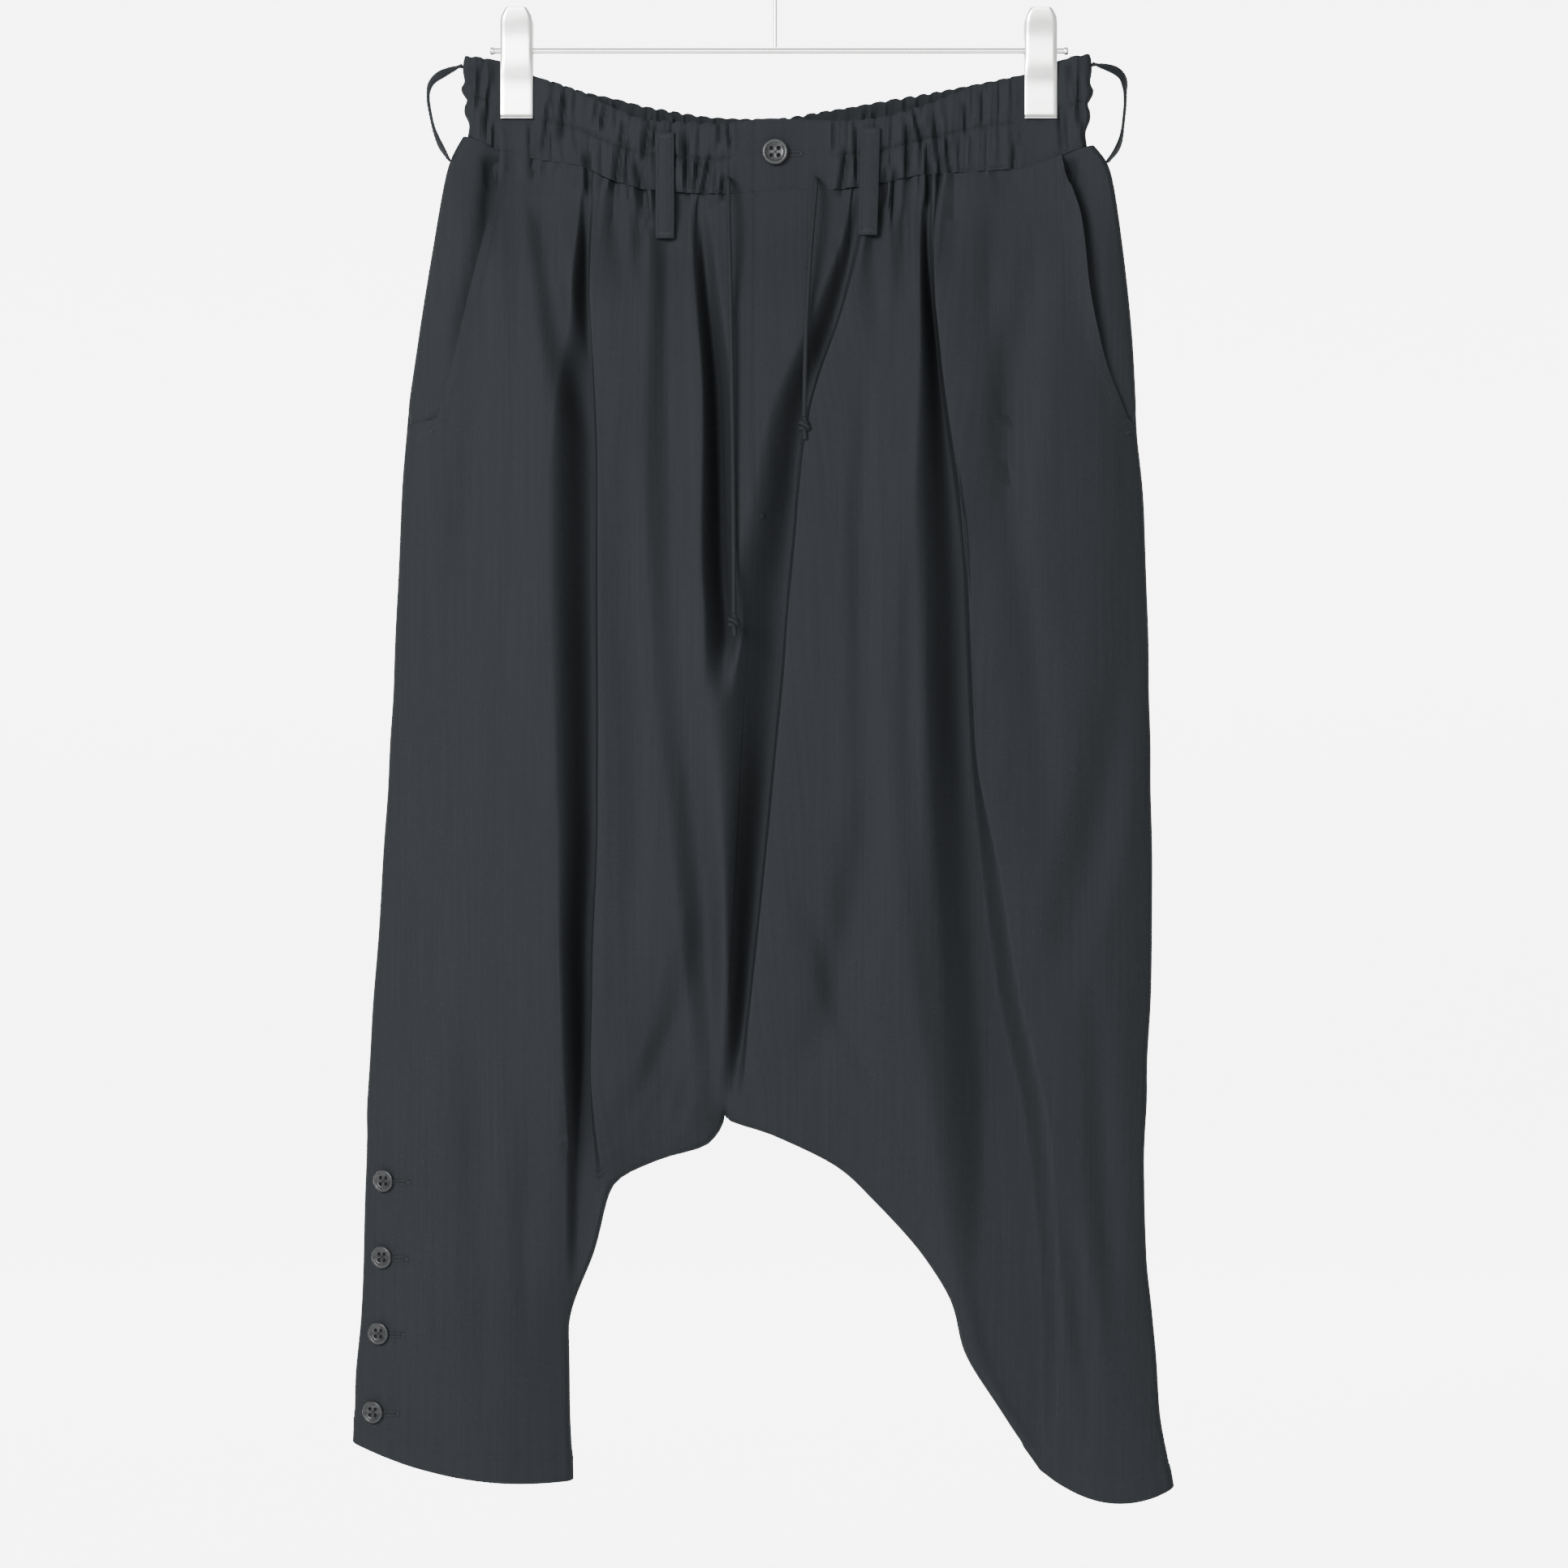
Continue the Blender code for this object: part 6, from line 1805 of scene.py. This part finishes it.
def sewing_thread():
    made = Shader("sewing_thread", (0.017, 0.0185, 0.0205), 0.75)
    place = made.coordinates("Object")
    tone = made.noise(place, 900.0, 2.0)
    made.colours(tone, (0.3, (0.013, 0.0145, 0.016)), (0.7, (0.022, 0.0235, 0.026)))
    made.base.inputs["Specular IOR Level"].default_value = 0.1
    made.bump(made.noise(place, 4200.0, 1.0), 0.3, 0.0001)
    return made.material


def dark_horn():
    """Polished dark horn with faint paler streaks."""
    made = Shader("dark_horn", (0.022, 0.0225, 0.024), 0.24)
    place = made.coordinates("Object")
    streak = made.noise(made.mapped(place, (160, 160, 420)), 1.0, 4.0, 0.6)
    made.colours(streak, (0.30, (0.013, 0.0135, 0.0145)), (0.62, (0.026, 0.0265, 0.028)),
                 (0.85, (0.055, 0.0545, 0.054)))
    rough = made.ranged(made.noise(place, 700.0, 2.0), 0.2, 0.32)
    made.link(rough, made.base.inputs["Roughness"])
    made.base.inputs["Specular IOR Level"].default_value = 0.24
    return made.material


def braided_cord():
    made = Shader("braided_cord", (0.0122, 0.0134, 0.015), 0.85)
    fibre = made.noise(made.coordinates("Object"), 2600.0, 2.0)
    made.colours(fibre, (0.3, (0.0095, 0.0105, 0.0118)), (0.7, (0.0155, 0.0168, 0.0185)))
    made.bump(fibre, 0.4, 0.00015)
    made.base.inputs["Specular IOR Level"].default_value = 0.05
    return made.material


def bright_chrome():
    made = Shader("bright_chrome", (0.92, 0.92, 0.9), 0.3, 1.0)
    place = made.coordinates("Object")
    haze = made.noise(place, 60.0, 4.0)
    made.link(made.ranged(haze, 0.22, 0.36), made.base.inputs["Roughness"])
    made.colours(haze, (0.3, (0.90, 0.90, 0.88)), (0.7, (0.95, 0.95, 0.93)))
    made.bump(made.noise(made.mapped(place, (300, 300, 2200)), 1.0, 2.0), 0.03, 0.0001)
    return made.material


# ---------------------------------------------------------------- the studio


CAMERA_PLACE = (0.006, -2.6, -0.6017)
VIEW_ACROSS = 1.0626
LENS_SENSOR = 36.0


def place_camera():
    data = bpy.data.cameras.new("camera")
    data.sensor_width = LENS_SENSOR
    data.sensor_fit = "HORIZONTAL"
    data.lens = LENS_SENSOR * -CAMERA_PLACE[1] / VIEW_ACROSS
    data.clip_end = 50
    camera = add_object("camera", data)
    camera.location = CAMERA_PLACE
    camera.rotation_euler = (math.radians(90), 0, 0)
    bpy.context.scene.camera = camera


FLOOR = -1.45
FLOOR_FRONT = -5.0
BACKDROP_HALF_WIDTH, BACKDROP_SWEEP, BACKDROP_AT, BACKDROP_HEIGHT = 6.0, 1.2, 4.8, 4.2
BACKDROP_ROWS = 30
FLOOR_SHARE, SWEEP_SHARE = 0.35, 0.4  # how much of the backdrop's rows each of them takes
GLOW_STARTS, GLOW_FULL, GLOW = 0.6, 1.6, 4.5  # where it begins to glow, and how strongly
WORLD_STRENGTH = 0.72
Lamp = namedtuple("Lamp", "name place aim size power")
LAMPS = [
    Lamp("key", (-1.4, -2.6, 0.4), (0.0, 0.0, -0.55), 1.2, 178),
    Lamp("card", (0.0, -5.0, 0.85), (0.0, 0.0, -0.1), 1.7, 95),
    Lamp("back_right", (-1.8, 1.3, 0.4), (0.0, 0.0, -0.6), 1.2, 22),
    Lamp("back_left", (1.8, 1.4, 0.1), (0.0, 0.0, -0.6), 1.2, 30),
]


def backdrop_paper():
    """Pale paper that glows behind the object, as if lamps lit it."""
    paper = Shader("pale_backdrop", (0.86, 0.86, 0.86), 0.95)
    place = paper.coordinates("Object")
    paper.colours(paper.noise(place, 3.0, 2.0), (0.2, (0.855,) * 3), (0.8, (0.875,) * 3))
    paper.base.inputs["Emission Color"].default_value = (1.0, 1.0, 1.0, 1.0)
    axes = paper.add("SeparateXYZ", {}, {"Vector": place})
    glow = paper.ranged(axes.outputs["Y"], 0.0, GLOW, GLOW_STARTS, GLOW_FULL)
    paper.link(glow, paper.base.inputs["Emission Strength"])
    return paper.material


def make_studio():
    """A pale floor that sweeps up into a backdrop."""
    bm = bmesh.new()
    bmesh.ops.create_grid(bm, x_segments=1, y_segments=BACKDROP_ROWS, size=1.0)
    sweep, back = BACKDROP_SWEEP, BACKDROP_AT
    swept = FLOOR_SHARE + SWEEP_SHARE
    for vert in bm.verts:
        t = (vert.co.y + 1) / 2
        x = vert.co.x * BACKDROP_HALF_WIDTH
        if t < FLOOR_SHARE:
            y, z = FLOOR_FRONT + (back - sweep - FLOOR_FRONT) * t / FLOOR_SHARE, FLOOR
        elif t < swept:
            angle = math.pi / 2 * (t - FLOOR_SHARE) / SWEEP_SHARE
            y = back - sweep + sweep * math.sin(angle)
            z = FLOOR + sweep * (1 - math.cos(angle))
        else:
            y, z = back, FLOOR + sweep + BACKDROP_HEIGHT * (t - swept) / (1 - swept)
        vert.co = Vector((x, y, z))
    bmesh.ops.recalc_face_normals(bm, faces=bm.faces[:])
    if sum(f.normal.z - f.normal.y for f in bm.faces) < 0:
        bmesh.ops.reverse_faces(bm, faces=bm.faces[:])
    backdrop = link_mesh("backdrop", bm, backdrop_paper())
    backdrop.data.shade_smooth()


def light_studio():
    for lamp in LAMPS:
        data = bpy.data.lights.new(lamp.name, "AREA")
        data.shape = "SQUARE"
        data.size = lamp.size
        data.energy = lamp.power
        light = add_object(lamp.name, data)
        light.location = lamp.place
        way = Vector(lamp.aim) - Vector(lamp.place)
        light.rotation_euler = way.to_track_quat("-Z", "Y").to_euler()
    world = bpy.data.worlds.new("studio")
    world.use_nodes = True
    sky = world.node_tree.nodes["Background"]
    sky.inputs["Color"].default_value = (1.0, 1.0, 1.0, 1.0)
    sky.inputs["Strength"].default_value = WORLD_STRENGTH
    bpy.context.scene.world = world


# ---------------------------------------------------------------- putting it together


place_camera()
cord_braid = braided_cord()
make_drawcords(cord_braid)
twill = charcoal_twill()
for wall, side in PANEL_PLEATS:
    make_panel(side, wall, twill)
for side in HALVES:
    make_facing(side, twill)
for node in BAND_PIECES:
    make_band(node, twill)
thread_finish = sewing_thread()
thread = sew_seams()
make_belt_loops(twill, thread)
make_buttons(dark_horn(), thread)
thread.finish("stitching", thread_finish)
chrome = bright_chrome()
make_bar_and_hook(chrome)
for side, x in CLIP_CENTRES.items():
    make_clip(side, x, chrome)
make_studio()
light_studio()

bpy.context.view_layer.update()
